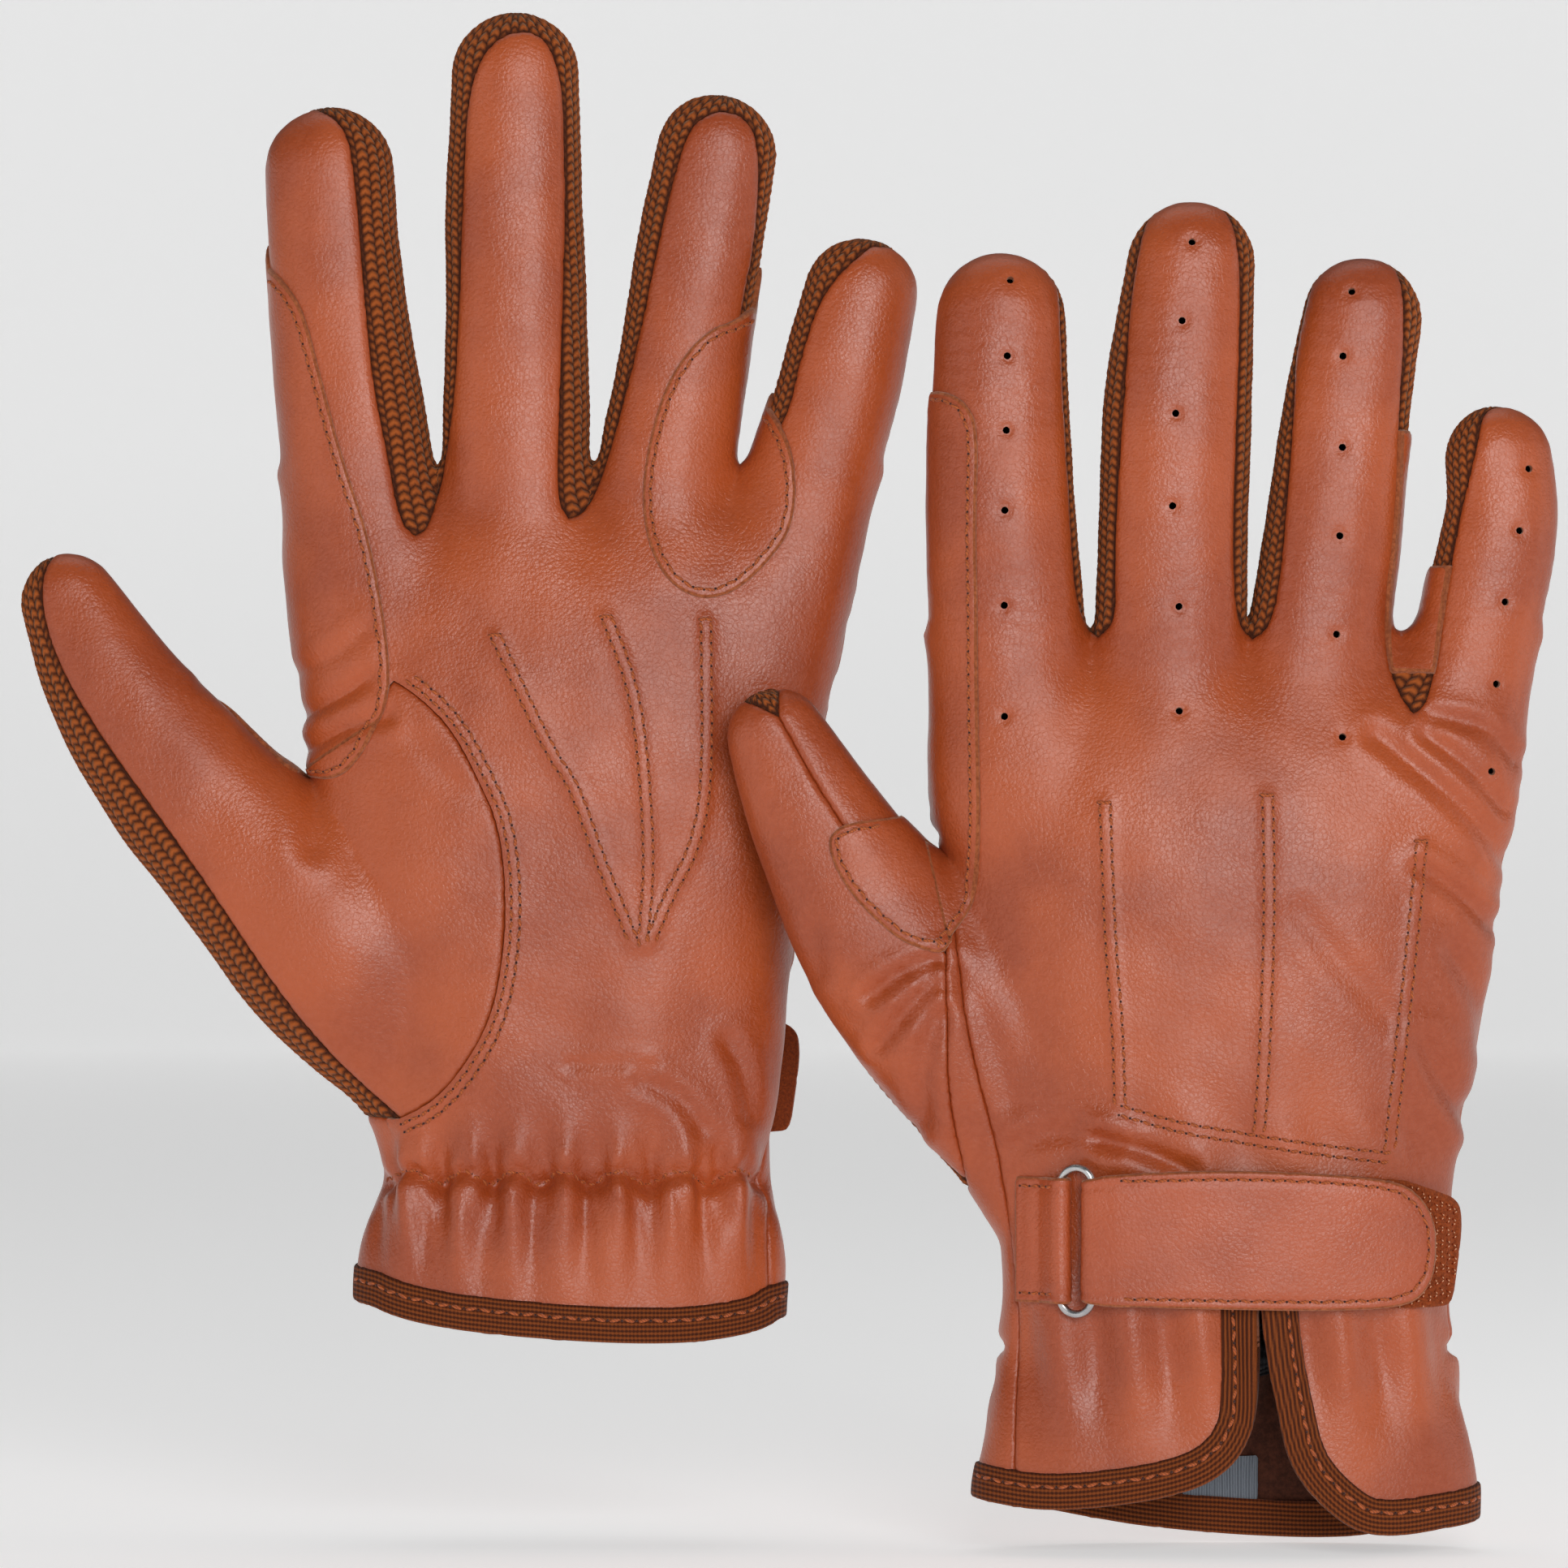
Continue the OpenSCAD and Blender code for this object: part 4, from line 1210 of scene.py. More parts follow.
@dataclass
class Finishes:
    """Every material of the pair, made once."""

    leather: bpy.types.Material
    strap_leather: bpy.types.Material
    raw_edge: bpy.types.Material
    suede: bpy.types.Material
    yarn: bpy.types.Material
    hem_tape: bpy.types.Material
    elastic: bpy.types.Material
    label: bpy.types.Material
    thread: bpy.types.Material
    needle_hole_shade: bpy.types.Material
    hooks: bpy.types.Material
    hook_tape: bpy.types.Material
    loop_pile: bpy.types.Material
    steel: bpy.types.Material

    @classmethod
    def make(cls) -> "Finishes":
        """Makes the materials."""
        strap = Leather("strap_leather", (0.47, 0.086, 0.022), (0.37, 0.062, 0.015))
        return cls(
            Leather().material(), strap.material(),
            Nap("cut_edge", (0.42, 0.12, 0.042), (0.22, 0.050, 0.015), 1300.0, 0.05).material(),
            Nap("inner_suede", (0.115, 0.034, 0.018), (0.05, 0.014, 0.008), 900.0).material(),
            Knit().material(),
            RibbedTape("hem_tape", (0.24, 0.056, 0.010), (0.06, 0.012, 0.003), 0.85, 0.06).material(),
            RibbedTape("black_elastic", (0.03, 0.03, 0.035), (0.004, 0.004, 0.005), 1.1).material(),
            RibbedTape("label_cloth", (0.26, 0.29, 0.33), (0.15, 0.17, 0.20), 0.5, 0.1).material(),
            Thread("rust_thread", (0.48, 0.105, 0.017), (0.29, 0.058, 0.009)).material(),
            # Near-black discs at the needle holes: painted shade.
            Thread("needle_hole_painted_shade", (0.07, 0.016, 0.007), (0.03, 0.007, 0.004), 0.9).material(),
            Hooks().material(),
            Nap("hook_tape", (0.36, 0.065, 0.010), (0.16, 0.026, 0.004), 2200.0).material(),
            Nap("loop_pile", (0.48, 0.13, 0.03), (0.20, 0.04, 0.008), 1900.0, 0.3).material(),
            Steel().material())


# Pieces


@dataclass
class Piece:
    """Triangles for one finished piece, in the glove's own frame."""

    name: str
    points: np.ndarray
    tris: np.ndarray
    slots: np.ndarray
    materials: list[bpy.types.Material]
    values: dict[str, np.ndarray] = field(default_factory=dict)
    crease: float | None = 50.0


def shell(part: Skin, top: np.ndarray,
          bottom: np.ndarray | float) -> tuple[np.ndarray, np.ndarray, np.ndarray]:
    """Gives a skin a thickness.

    Args:
        part: the skin, with its normals among its values.
        top: how far the outer side lies above the skin.
        bottom: how far the inner side lies above it.

    Returns:
        The points, the triangles, and each triangle's side: 0 outer, 1 rim, 2 inner.
    """
    n = np.stack([part.values[k] for k in ("nx", "ny", "nz")], 1)
    n = unit(n)
    count = len(part.points)
    points = np.vstack([part.points + n * np.reshape(top, (-1, 1)),
                        part.points + n * np.reshape(np.broadcast_to(bottom, count), (-1, 1))])
    rim = part.border()
    a, b = rim[:, 0], rim[:, 1]
    side = np.vstack([np.stack([b, a, a + count], 1), np.stack([b, a + count, b + count], 1)])
    tris = np.vstack([part.tris, side, part.tris[:, ::-1] + count])
    kinds = np.repeat((0, 1, 2), (len(part.tris), len(side), len(part.tris)))
    return points, tris, kinds


@dataclass
class Template:
    """A small shape that is modelled once and copied many times."""

    points: np.ndarray
    tris: np.ndarray

    @classmethod
    def take(cls, scale: tuple[float, float, float] = (1, 1, 1)) -> "Template":
        """Takes the mesh of the new, active primitive and removes it.

        Args:
            scale: how it is stretched.

        Returns:
            The template.
        """
        o = bpy.context.active_object
        bpy.ops.object.mode_set(mode="EDIT")
        bpy.ops.mesh.select_all(action="SELECT")
        bpy.ops.transform.resize(value=scale)
        bpy.ops.mesh.quads_convert_to_tris()
        bpy.ops.object.mode_set(mode="OBJECT")
        points = np.array([v.co[:] for v in o.data.vertices])
        tris = np.array([p.vertices[:] for p in o.data.polygons], int)
        bpy.data.objects.remove(o)
        return cls(points, tris)

    @classmethod
    def stitch(cls) -> "Template":
        """One stitch, 1 long, sunk at its ends."""
        bpy.ops.object.select_all(action="DESELECT")
        bpy.ops.mesh.primitive_uv_sphere_add(segments=7, ring_count=5, radius=1, rotation=(0, math.pi / 2, 0))
        bpy.ops.object.transform_apply(location=False, rotation=True, scale=True)
        return cls.take((0.5, 1, 1))

    @classmethod
    def hole(cls) -> "Template":
        """One needle hole's mouth: a dark disc of painted shade."""
        bpy.ops.object.select_all(action="DESELECT")
        bpy.ops.mesh.primitive_cone_add(vertices=7, radius1=1, radius2=0.6, depth=0.1)
        return cls.take()

    def copies(self, at: np.ndarray, along: np.ndarray, up: np.ndarray,
               size: tuple[float, float, float]) -> tuple[np.ndarray, np.ndarray]:
        """Copies of the shape.

        Args:
            at: the middle of each copy.
            along: where each copy's X points.
            up: where each copy's Z points.
            size: each copy's length, width and height.

        Returns:
            Their points and triangles.
        """
        side = np.cross(up, along)
        side = unit(side)
        along = np.cross(side, up)
        basis = np.stack([along * size[0], side * size[1], up * size[2]], 1)
        points = np.einsum("vk,nkc->nvc", self.points, basis) + at[:, None]
        tris = self.tris[None] + (np.arange(len(at)) * len(self.points))[:, None, None]
        return points.reshape(-1, 3), tris.reshape(-1, 3)


@dataclass
class Sewing:
    """Rows of stitches laid on a surface."""

    tree: BVHTree
    stitch: Template
    hole: Template
    length: float = 1.65
    pitch: float = 2.15
    thickness: float = 0.36
    lean: float = 0.22
    hole_size: tuple[float, float, float] = (0.27, 0.25, 0.4)
    batches: list[tuple[np.ndarray, np.ndarray, int]] = field(default_factory=list)

    def project(self, line: np.ndarray, face: Face) -> tuple[np.ndarray, np.ndarray]:
        """Drops a flat line onto one face of the surface.

        Args:
            line: x and z of its points.
            face: the face.

        Returns:
            The points that meet the surface, and its normals there.
        """
        places, ups = [], []
        y = face.value * 80.0
        for x, z in line.tolist():
            hit, normal, _, _ = self.tree.ray_cast(Vector((x, y, z)), Vector((0, -face.value, 0)))
            if hit is not None and abs(normal.y) > 0.12:
                places.append(hit)
                ups.append(normal)
        return np.array(places).reshape(-1, 3), np.array(ups).reshape(-1, 3)

    def row(self, line: np.ndarray, face: Face, lift: float = 0.25, offset: float = 0.0,
            pitch: float | None = None, zigzag: float = 0.0, length: float | None = None) -> None:
        """Sews one row along a line.

        Args:
            line: x and z of its points.
            face: the face it is on.
            lift: how far the leather stands above the surface.
            offset: how far beside the line the row runs.
            pitch: from stitch to stitch.
            zigzag: how far the stitches swing to the sides.
            length: of one stitch.
        """
        line = resample(line, 0.5)
        if offset:
            t = np.gradient(line, axis=0)
            t = unit(t)
            line = line + np.stack([t[:, 1], -t[:, 0]], 1) * offset
        at, up = self.project(line, face)
        if len(at) < 4:
            return
        up = unit(up)
        self.lay(at + up * lift, up, pitch or self.pitch, zigzag, length or self.length)

    def lay(self, at: np.ndarray, up: np.ndarray, pitch: float, zigzag: float, length: float) -> None:
        """Lays stitches along a line in space.

        Args:
            at: the line's points.
            up: the surface's normals.
            pitch: from stitch to stitch.
            zigzag: how far they swing to the sides.
            length: of one stitch.
        """
        steps = np.linalg.norm(np.diff(at, axis=0), axis=1)
        run = np.concatenate([[0], np.cumsum(np.minimum(steps, 3.0))])
        where = np.arange(pitch / 2, run[-1], pitch)
        if len(where) < 1:
            return

        def pick(s: np.ndarray, v: np.ndarray) -> np.ndarray:
            """A value at places along the line."""
            return np.stack([np.interp(s, run, v[:, k]) for k in range(3)], 1)

        middle, normal = pick(where, at), pick(where, up)
        normal = unit(normal)
        along = pick(where + 0.6, at) - pick(where - 0.6, at)
        along = unit(along)
        side = np.cross(normal, along)
        swing = np.where(np.arange(len(where)) % 2 == 0, 1.0, -1.0)[:, None]
        lean = along + side * swing * (zigzag or self.lean)
        lean = unit(lean)
        holes = pick(where - pitch / 2, at)
        self._add(self.stitch, middle + normal * 0.02, lean, normal,
                  (length, self.thickness, self.thickness), 0)
        # A dark disc of painted shade at each needle hole.
        self._add(self.hole, holes + normal * 0.03, along, normal, self.hole_size, 1)

    def _add(self, shape: Template, at: np.ndarray, along: np.ndarray, up: np.ndarray,
             size: tuple[float, float, float], kind: int) -> None:
        """Keeps copies of a shape for the piece."""
        points, tris = shape.copies(at, along, up, size)
        self.batches.append((points, tris, kind))

    def piece(self, name: str, finishes: Finishes) -> Piece:
        """All rows as one piece."""
        points, tris, kinds, base = [], [], [], 0
        for p, t, kind in self.batches:
            points.append(p)
            tris.append(t + base)
            kinds.append(np.full(len(t), kind))
            base += len(p)
        return Piece(name, np.vstack(points), np.vstack(tris), np.concatenate(kinds),
                     [finishes.thread, finishes.needle_hole_shade], crease=None)


def resample(line: np.ndarray, step: float) -> np.ndarray:
    """A line with points at even steps."""
    run = np.concatenate([[0], np.cumsum(np.linalg.norm(np.diff(line, axis=0), axis=1))])
    s = np.linspace(0, run[-1], max(3, int(run[-1] / step) + 1))
    return np.stack([np.interp(s, run, line[:, k]) for k in range(line.shape[1])], 1)


def glove_origin(hand: Hand) -> np.ndarray:
    """Where a glove's own origin is, in mm."""
    if hand is Hand.LEFT:
        return np.zeros(3)
    mount = next(m for m in frame["record"]["mounts"] if m["name"] == "right_hand_opening")
    return np.array(mount["pos_m"]) / MM - (0.2, 0, 0)


# One glove


@dataclass
class Glove:
    """A glove's sewn shell: panels, knit strips, patches, tape and stitches."""

    hand: Hand
    finishes: Finishes
    step: float = 1.0
    leather: float = 1.15
    proud: float = 0.25
    seam_depth: float = 0.8
    seam_width: float = 1.7
    patch_top: float = 1.1
    tape_width: float = 6.8
    yarn_height: float = 0.55
    vent_radius: float = 0.68
    sewing: Sewing | None = None

    def __post_init__(self) -> None:
        """Sets up the form, the pattern and the glove's place."""
        left = self.hand is Hand.LEFT
        digits, palm = (LEFT_DIGITS, LEFT_PALM) if left else (RIGHT_DIGITS, RIGHT_PALM)
        self.form = HandForm(digits, palm, self.step)
        self.pattern = Pattern(self.hand, self.form, gather_z=26.6 if left else 30.0)
        self.body = f"{self.hand.value}_glove"
        self.shift = glove_origin(self.hand)
        self.pieces: list[Piece] = []

    def build(self) -> None:
        """Builds every sewn piece of the glove."""
        skin = self.form.skin()
        skin.points += skin.normals() * self.pattern.relief(skin.points)[:, None]
        skin.smooth(1, 0.3)
        normals = skin.normals()
        skin.values = {k: normals[:, i] for i, k in enumerate(("nx", "ny", "nz"))}
        skin.values |= self.pattern.panels(skin.points)
        skin = skin.where("hem")
        self.sewing = Sewing(BVHTree.FromPolygons(skin.points.tolist(), skin.tris.tolist()),
                             Template.stitch(), Template.hole())
        rest = skin
        for name in ("thumb_front", "thumb_back", "palm_panel", "back_panel"):
            cut = rest.split(name)
            inside = cut.values[name][cut.tris].sum(1) > 0
            self.panel(name, cut.pick(inside).without_crumbs(60))
            rest = cut.pick(~inside)
        self.knit(rest.without_crumbs(30))
        for name in ("index_patch", "web_patch", "ring_little_patch"):
            self.patch(name, skin)
        self.tape(skin)
        self.lining(skin)
        self.sew()

    def add(self, piece: Piece) -> None:
        """Keeps a piece."""
        self.pieces.append(piece)

    def panel(self, name: str, part: Skin) -> None:
        """A leather panel with edges rolled into its seams.

        Args:
            name: the panel.
            part: its skin.
        """
        part.values["rim"] = part.rim_distance()
        part = part.refine(part.values["rim"] < 2.2)
        if name == "back_panel":
            part = self.vents(part)
        else:
            part.values["vent"] = np.full(len(part.points), NO_VENT)
        d = np.clip(part.values["rim"] / self.seam_width, 0, 1)
        roll = self.seam_depth * (1 - np.sqrt(1 - (1 - d) ** 2))
        free = part.values["hem"] < 3
        roll = np.where(free, roll * 0.3, roll)
        thenar = line_distance(self.pattern.palm_line(THENAR), part.points[:, 0], part.points[:, 2])
        lapped = (part.points[:, 1] < 0) & (thenar < 2.4)
        if name == "palm_panel":
            roll = np.where(lapped, roll * 0.1 - 0.25, roll)
        top = self.proud - roll - 0.22 * np.exp(-(part.values["vent"] / 0.9) ** 2)
        points, tris, kinds = shell(part, top, self.proud - self.leather)
        self.add(Piece(name, points, tris, kinds,
                       [self.finishes.leather, self.finishes.raw_edge, self.finishes.suede],
                       {"rim": np.tile(part.values["rim"], 2)}))

    def vents(self, part: Skin) -> Skin:
        """Punches the vent holes.

        Args:
            part: the back panel's skin.

        Returns:
            The skin with its holes.
        """
        spots = []
        for line, name in zip(HOLES, ("index", "middle", "ring", "little")):
            for hx, hz in line:
                if self.hand is Hand.LEFT:
                    right = HandForm(RIGHT_DIGITS, RIGHT_PALM).beside(name, np.array([hx]), np.array([hz]))
                    hx, hz = carry(((hx, hz), (hx, hz - 0.1)), Hand.LEFT)[0]
                    for _ in range(6):
                        mine = self.form.beside(name, np.array([hx]), np.array([hz]))
                        hx += right[4][0] * mine[1][0] / right[1][0] - mine[4][0]
                spots.append((hx, hz))

        def far(p: np.ndarray) -> np.ndarray:
            """Distance to the nearest hole's middle."""
            best = np.full(len(p), NO_VENT)
            for hx, hz in spots:
                best = np.minimum(best, np.hypot(p[:, 0] - hx, p[:, 2] - hz))
            return np.where(p[:, 1] > 0, best, NO_VENT)

        for reach in (2.8, 1.9):
            part.values["vent"] = far(part.points)
            part = part.refine(part.values["vent"] < reach)
        part.values["vent"] = far(part.points)
        part = part.split("vent", self.vent_radius, snap=0.05)
        part = part.pick(part.values["vent"][part.tris].mean(1) > self.vent_radius)
        part.values["vent"] = np.maximum(part.values["vent"] - self.vent_radius, 0)
        return part

    def knit(self, part: Skin) -> None:
        """The knit strips between the fingers and round the thumb.

        Args:
            part: all of the skin that isn't leather.
        """
        part.values["rim"] = part.rim_distance()
        x, z = part.points[:, 0], part.points[:, 2]
        names = tuple(self.form.axes)
        gaps = {n: self.form.beside(n, x, z) for n in names}
        best = np.argmin([gaps[n][0] for n in names], 0)
        thumb = (best == names.index("thumb"))[part.tris].mean(1) > 0.5
        self.strip("thumb_gusset", part.pick(thumb).without_crumbs(30))
        fingers = part.pick(~thumb)
        x, z = fingers.points[:, 0], fingers.points[:, 2]
        for key in ("middle", "ring"):
            axis = self.form.axes[key]
            fingers.values[key] = x - np.interp(z, axis[:, 1], axis[:, 0])
        cut = fingers.split("middle").split("ring")
        m, r = cut.values["middle"][cut.tris].sum(1), cut.values["ring"][cut.tris].sum(1)
        self.strip("fourchette_index_middle", cut.pick(m < 0).without_crumbs(30))
        self.strip("fourchette_middle_ring", cut.pick((m >= 0) & (r < 0)).without_crumbs(30))
        self.strip("fourchette_ring_little", cut.pick(r >= 0).without_crumbs(30))

    def strip(self, name: str, part: Skin) -> None:
        """One knit strip with raised loops in columns.

        Args:
            name: the strip.
            part: its skin.
        """
        part = part.refine()
        x, y, z = part.points.T
        names = [n for n in self.form.axes if (n == "thumb") == (name == "thumb_gusset")]
        data = [self.form.beside(n, x, z) for n in names]
        best = np.argmin([d[0] for d in data], 0)
        mid, side = (np.choose(best, [d[k] for d in data]) for k in (2, 4))
        chords = [self.form.axes[n][-1, :2] - self.form.axes[n][0, :2] for n in names]
        along = np.choose(best, [(x * c[0] + z * c[1]) / np.hypot(*c) for c in chords])
        share = self.form.thumb_depth if name == "thumb_gusset" else self.form.finger_depth
        angle = np.arctan2((y - mid) / share, np.abs(side) + 0.3)
        across = angle * 11.6
        column = across / YARN_PITCH
        place = column - np.round(column)
        arch = np.sqrt(np.clip(1 - (np.abs(place) * 1.9) ** 2, 0, 1))
        phase = along / LOOP_PITCH + 0.5 * (np.round(column) % 2) + 0.75 * np.abs(place)
        beat = 0.5 + 0.5 * np.cos(2 * math.pi * phase)
        loop = arch * (0.30 + 0.70 * beat ** 0.7)
        fade = smoothstep(0.0, 1.0, part.values["rim"])
        top = -0.45 + self.yarn_height * (0.55 * loop + 0.5 * arch) * fade + 0.1
        points, tris, _ = shell(part, top, -1.1)
        # across, along and fade also set the yarn's painted shade between loops and towards the edges
        weave = {"across": across, "along": along, "fade": 0.35 + 0.65 * fade}
        self.add(Piece(name, points, tris, np.zeros(len(tris), int), [self.finishes.yarn],
                       {key: np.tile(v, 2) for key, v in weave.items()}, crease=None))

    def patch(self, name: str, skin: Skin) -> None:
        """A patch of leather sewn on top, with its cut edge showing.

        Args:
            name: the patch.
            skin: the whole skin.
        """
        if name == "web_patch":
            skin = skin.where("index_patch", above=False, level=0.05)
        part = skin.where(name).without_crumbs(60)
        part = part.refine(part.values[name] < 2.4)
        part = part.split(name, 0.12, snap=0.03).split(name, 0.55, snap=0.05)
        f = part.values[name]
        top = np.interp(f, (0, 0.12, 0.55, 1.5, 2.4),
                        (0.1, 0.75, 0.95, self.patch_top - 0.02, self.patch_top))
        points, tris, kinds = shell(part, top, -0.05)
        raw = np.zeros(len(tris), int)
        raw[:len(part.tris)] = f[part.tris].mean(1) < 0.55
        raw[kinds > 0] = 1
        self.add(Piece(name, points, tris, raw, [self.finishes.leather, self.finishes.raw_edge],
                       {"rim": np.tile(np.clip(f + 0.6, 0, 4), 2)}))

    def tape(self, skin: Skin) -> None:
        """The tape folded round the hem and the slit.

        Args:
            skin: the whole skin.
        """
        part = skin.where("hem", above=False, level=self.tape_width).without_crumbs(40)
        part = part.refine()
        f = part.values["hem"]
        end = np.minimum(f / 1.0, (self.tape_width - f) / 0.7)
        arch = np.sqrt(np.clip(1 - (1 - np.clip(end, 0, 1)) ** 2, 0, 1))
        top = 0.05 + 0.85 * arch
        low = -1.15 - 0.5 * np.sqrt(np.clip(1 - (1 - np.clip(f / 1.0, 0, 1)) ** 2, 0, 1))
        points, tris, _ = shell(part, top, low)
        self.add(Piece("hem_binding", points, tris, np.zeros(len(tris), int), [self.finishes.hem_tape],
                       {"across": np.tile(f, 2)}, crease=70.0))

    def lining(self, skin: Skin) -> None:
        """The elastic band and the blank label inside the cuff.

        Args:
            skin: the whole skin.
        """
        for name, top, low, finish, key in (
                ("wrist_elastic", -1.15, -2.1, self.finishes.elastic, 2),
                ("size_label", -1.0, -1.45, self.finishes.label, 0)):
            part = skin.where(name).without_crumbs(20)
            points, tris, _ = shell(part, np.full(len(part.points), top), low)
            across = part.points[:, key]
            self.add(Piece(name, points, tris, np.zeros(len(tris), int), [finish],
                           {"across": np.tile(across, 2)}))

    def sew(self) -> None:
        """Every stitch row of the glove."""
        s, p = self.sewing, self.pattern
        palm, back = Face.PALM, Face.BACK
        for line in DARTS:
            row = p.palm_line(line)
            for offset in (-0.85, 0.85):
                s.row(row, palm, self.proud, offset)
            s.row(np.array([row[0] + (-1.1, 0.2), row[0] + (1.1, 0.2)]), palm, self.proud, pitch=1.1)
        for line in POINTS:
            row = p.back_line(line)
            for offset in (-0.9, 0.9):
                s.row(row, back, self.proud, offset)
            s.row(np.array([row[0] + (-1.2, 0.2), row[0] + (1.2, 0.2)]), back, self.proud, pitch=1.2)
        for offset in (-0.9, 0.9):
            s.row(p.back_line(BOTTOM_ROW), back, self.proud, offset)
        for offset in (1.1, 2.7):
            s.row(p.palm_line(THENAR)[:-3], palm, 2 * self.proud, offset)
        top = self.patch_top
        s.row(p.palm_line(INDEX_PATCH_PALM), palm, top, 1.5, length=2.1)
        s.row(p.palm_line(WEB_PALM), palm, top, 1.5, length=2.1)
        s.row(p.back_line(INDEX_PATCH_BACK), back, top, 1.5, length=2.1)
        s.row(p.back_line(WEB_BACK), back, top, 1.5, length=2.1)
        s.row(p.palm_line(U_PATCH), palm, top, -1.5, length=2.1)
        x = np.linspace(-35, 34, 90)
        wave = np.cos(2 * math.pi * (x + 1.1 * np.sin(x / 9.0 + 1.0)) / p.gather_pitch)
        s.row(np.stack([x, p.gather_z + 1.3 * wave], 1), palm, self.proud - 0.1, 0, 2.1, 0.5)
        hem, outer, inner = p.hem_lines()
        for line, face in ((hem, palm), (outer, back), (inner, back)):
            s.row(line[2:-2], face, 0.9, -4.3, 2.7, length=2.0)
        self.add(s.piece("stitching", self.finishes))

    def dress(self) -> None:
        """Puts every piece in its place, on its body."""
        for piece in self.pieces:
            place_piece(piece, self.hand, self.shift, self.body)


def place_piece(piece: Piece, hand: Hand, shift: np.ndarray, body: str) -> bpy.types.Object:
    """Makes the Blender object of a piece.

    Args:
        piece: the piece, in the glove's frame.
        hand: the glove's hand.
        shift: where the glove's origin is, in mm.
        body: the body that it rides on.

    Returns:
        The object.
    """
    name = f"{hand.value}_{piece.name}"
    points, tris = piece.points.copy(), piece.tris
    if hand is Hand.RIGHT:
        points[:, 1] *= -1
        tris = tris[:, ::-1]
    points = (points + shift) * MM
    mesh = bpy.data.meshes.new(name + "_mesh")
    mesh.vertices.add(len(points))
    mesh.vertices.foreach_set("co", points.astype(np.float32).ravel())
    mesh.loops.add(tris.size)
    mesh.loops.foreach_set("vertex_index", tris.astype(np.int32).ravel())
    mesh.polygons.add(len(tris))
    mesh.polygons.foreach_set("loop_start", np.arange(0, tris.size, 3, dtype=np.int32))
    mesh.update(calc_edges=True)
    mesh.polygons.foreach_set("use_smooth", np.ones(len(tris), bool))
    mesh.polygons.foreach_set("material_index", piece.slots.astype(np.int32))
    for key, values in piece.values.items():
        layer = mesh.attributes.new(key, "FLOAT", "POINT")
        layer.data.foreach_set("value", values.astype(np.float32))
    for material in piece.materials:
        mesh.materials.append(material)
    mesh.validate()
    o = bpy.data.objects.new(name + "_piece", mesh)
    bpy.context.scene.collection.objects.link(o)
    if piece.crease is not None:
        bpy.ops.object.select_all(action="DESELECT")
        o.select_set(True)
        bpy.context.view_layer.objects.active = o
        bpy.ops.object.shade_smooth_by_angle(angle=math.radians(piece.crease))
    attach(o, body)
    if name in frame["nodes"]:
        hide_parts(name)
    log.info("%s: %d triangles on %s", o.name, len(tris), body)
    return o


# Wrist strap

TAB_TIP: Line = (
    (-14.4, 12.8), (-0.8, 13.2), (13.2, 12.8), (23.7, 12.0), (30.7, 11.0), (34.2, 9.2), (36.9, 5.8),
    (38.2, 1.5), (38, -4.4), (36.9, -8.2), (34.2, -11.2), (28.9, -12.4), (16.7, -12.7), (-0.8, -12.4),
    (-14.4, -12.1),
)
HOOK_TIP: Line = (
    (-4, 12.4), (30, 12.0), (41, 8.2), (42.7, 6.7), (43.2, 5), (43.3, 1.5), (42.6, -4.1),
    (41.6, -11.2), (40.1, -12.4), (30, -12.4), (-4, -12.4),
)


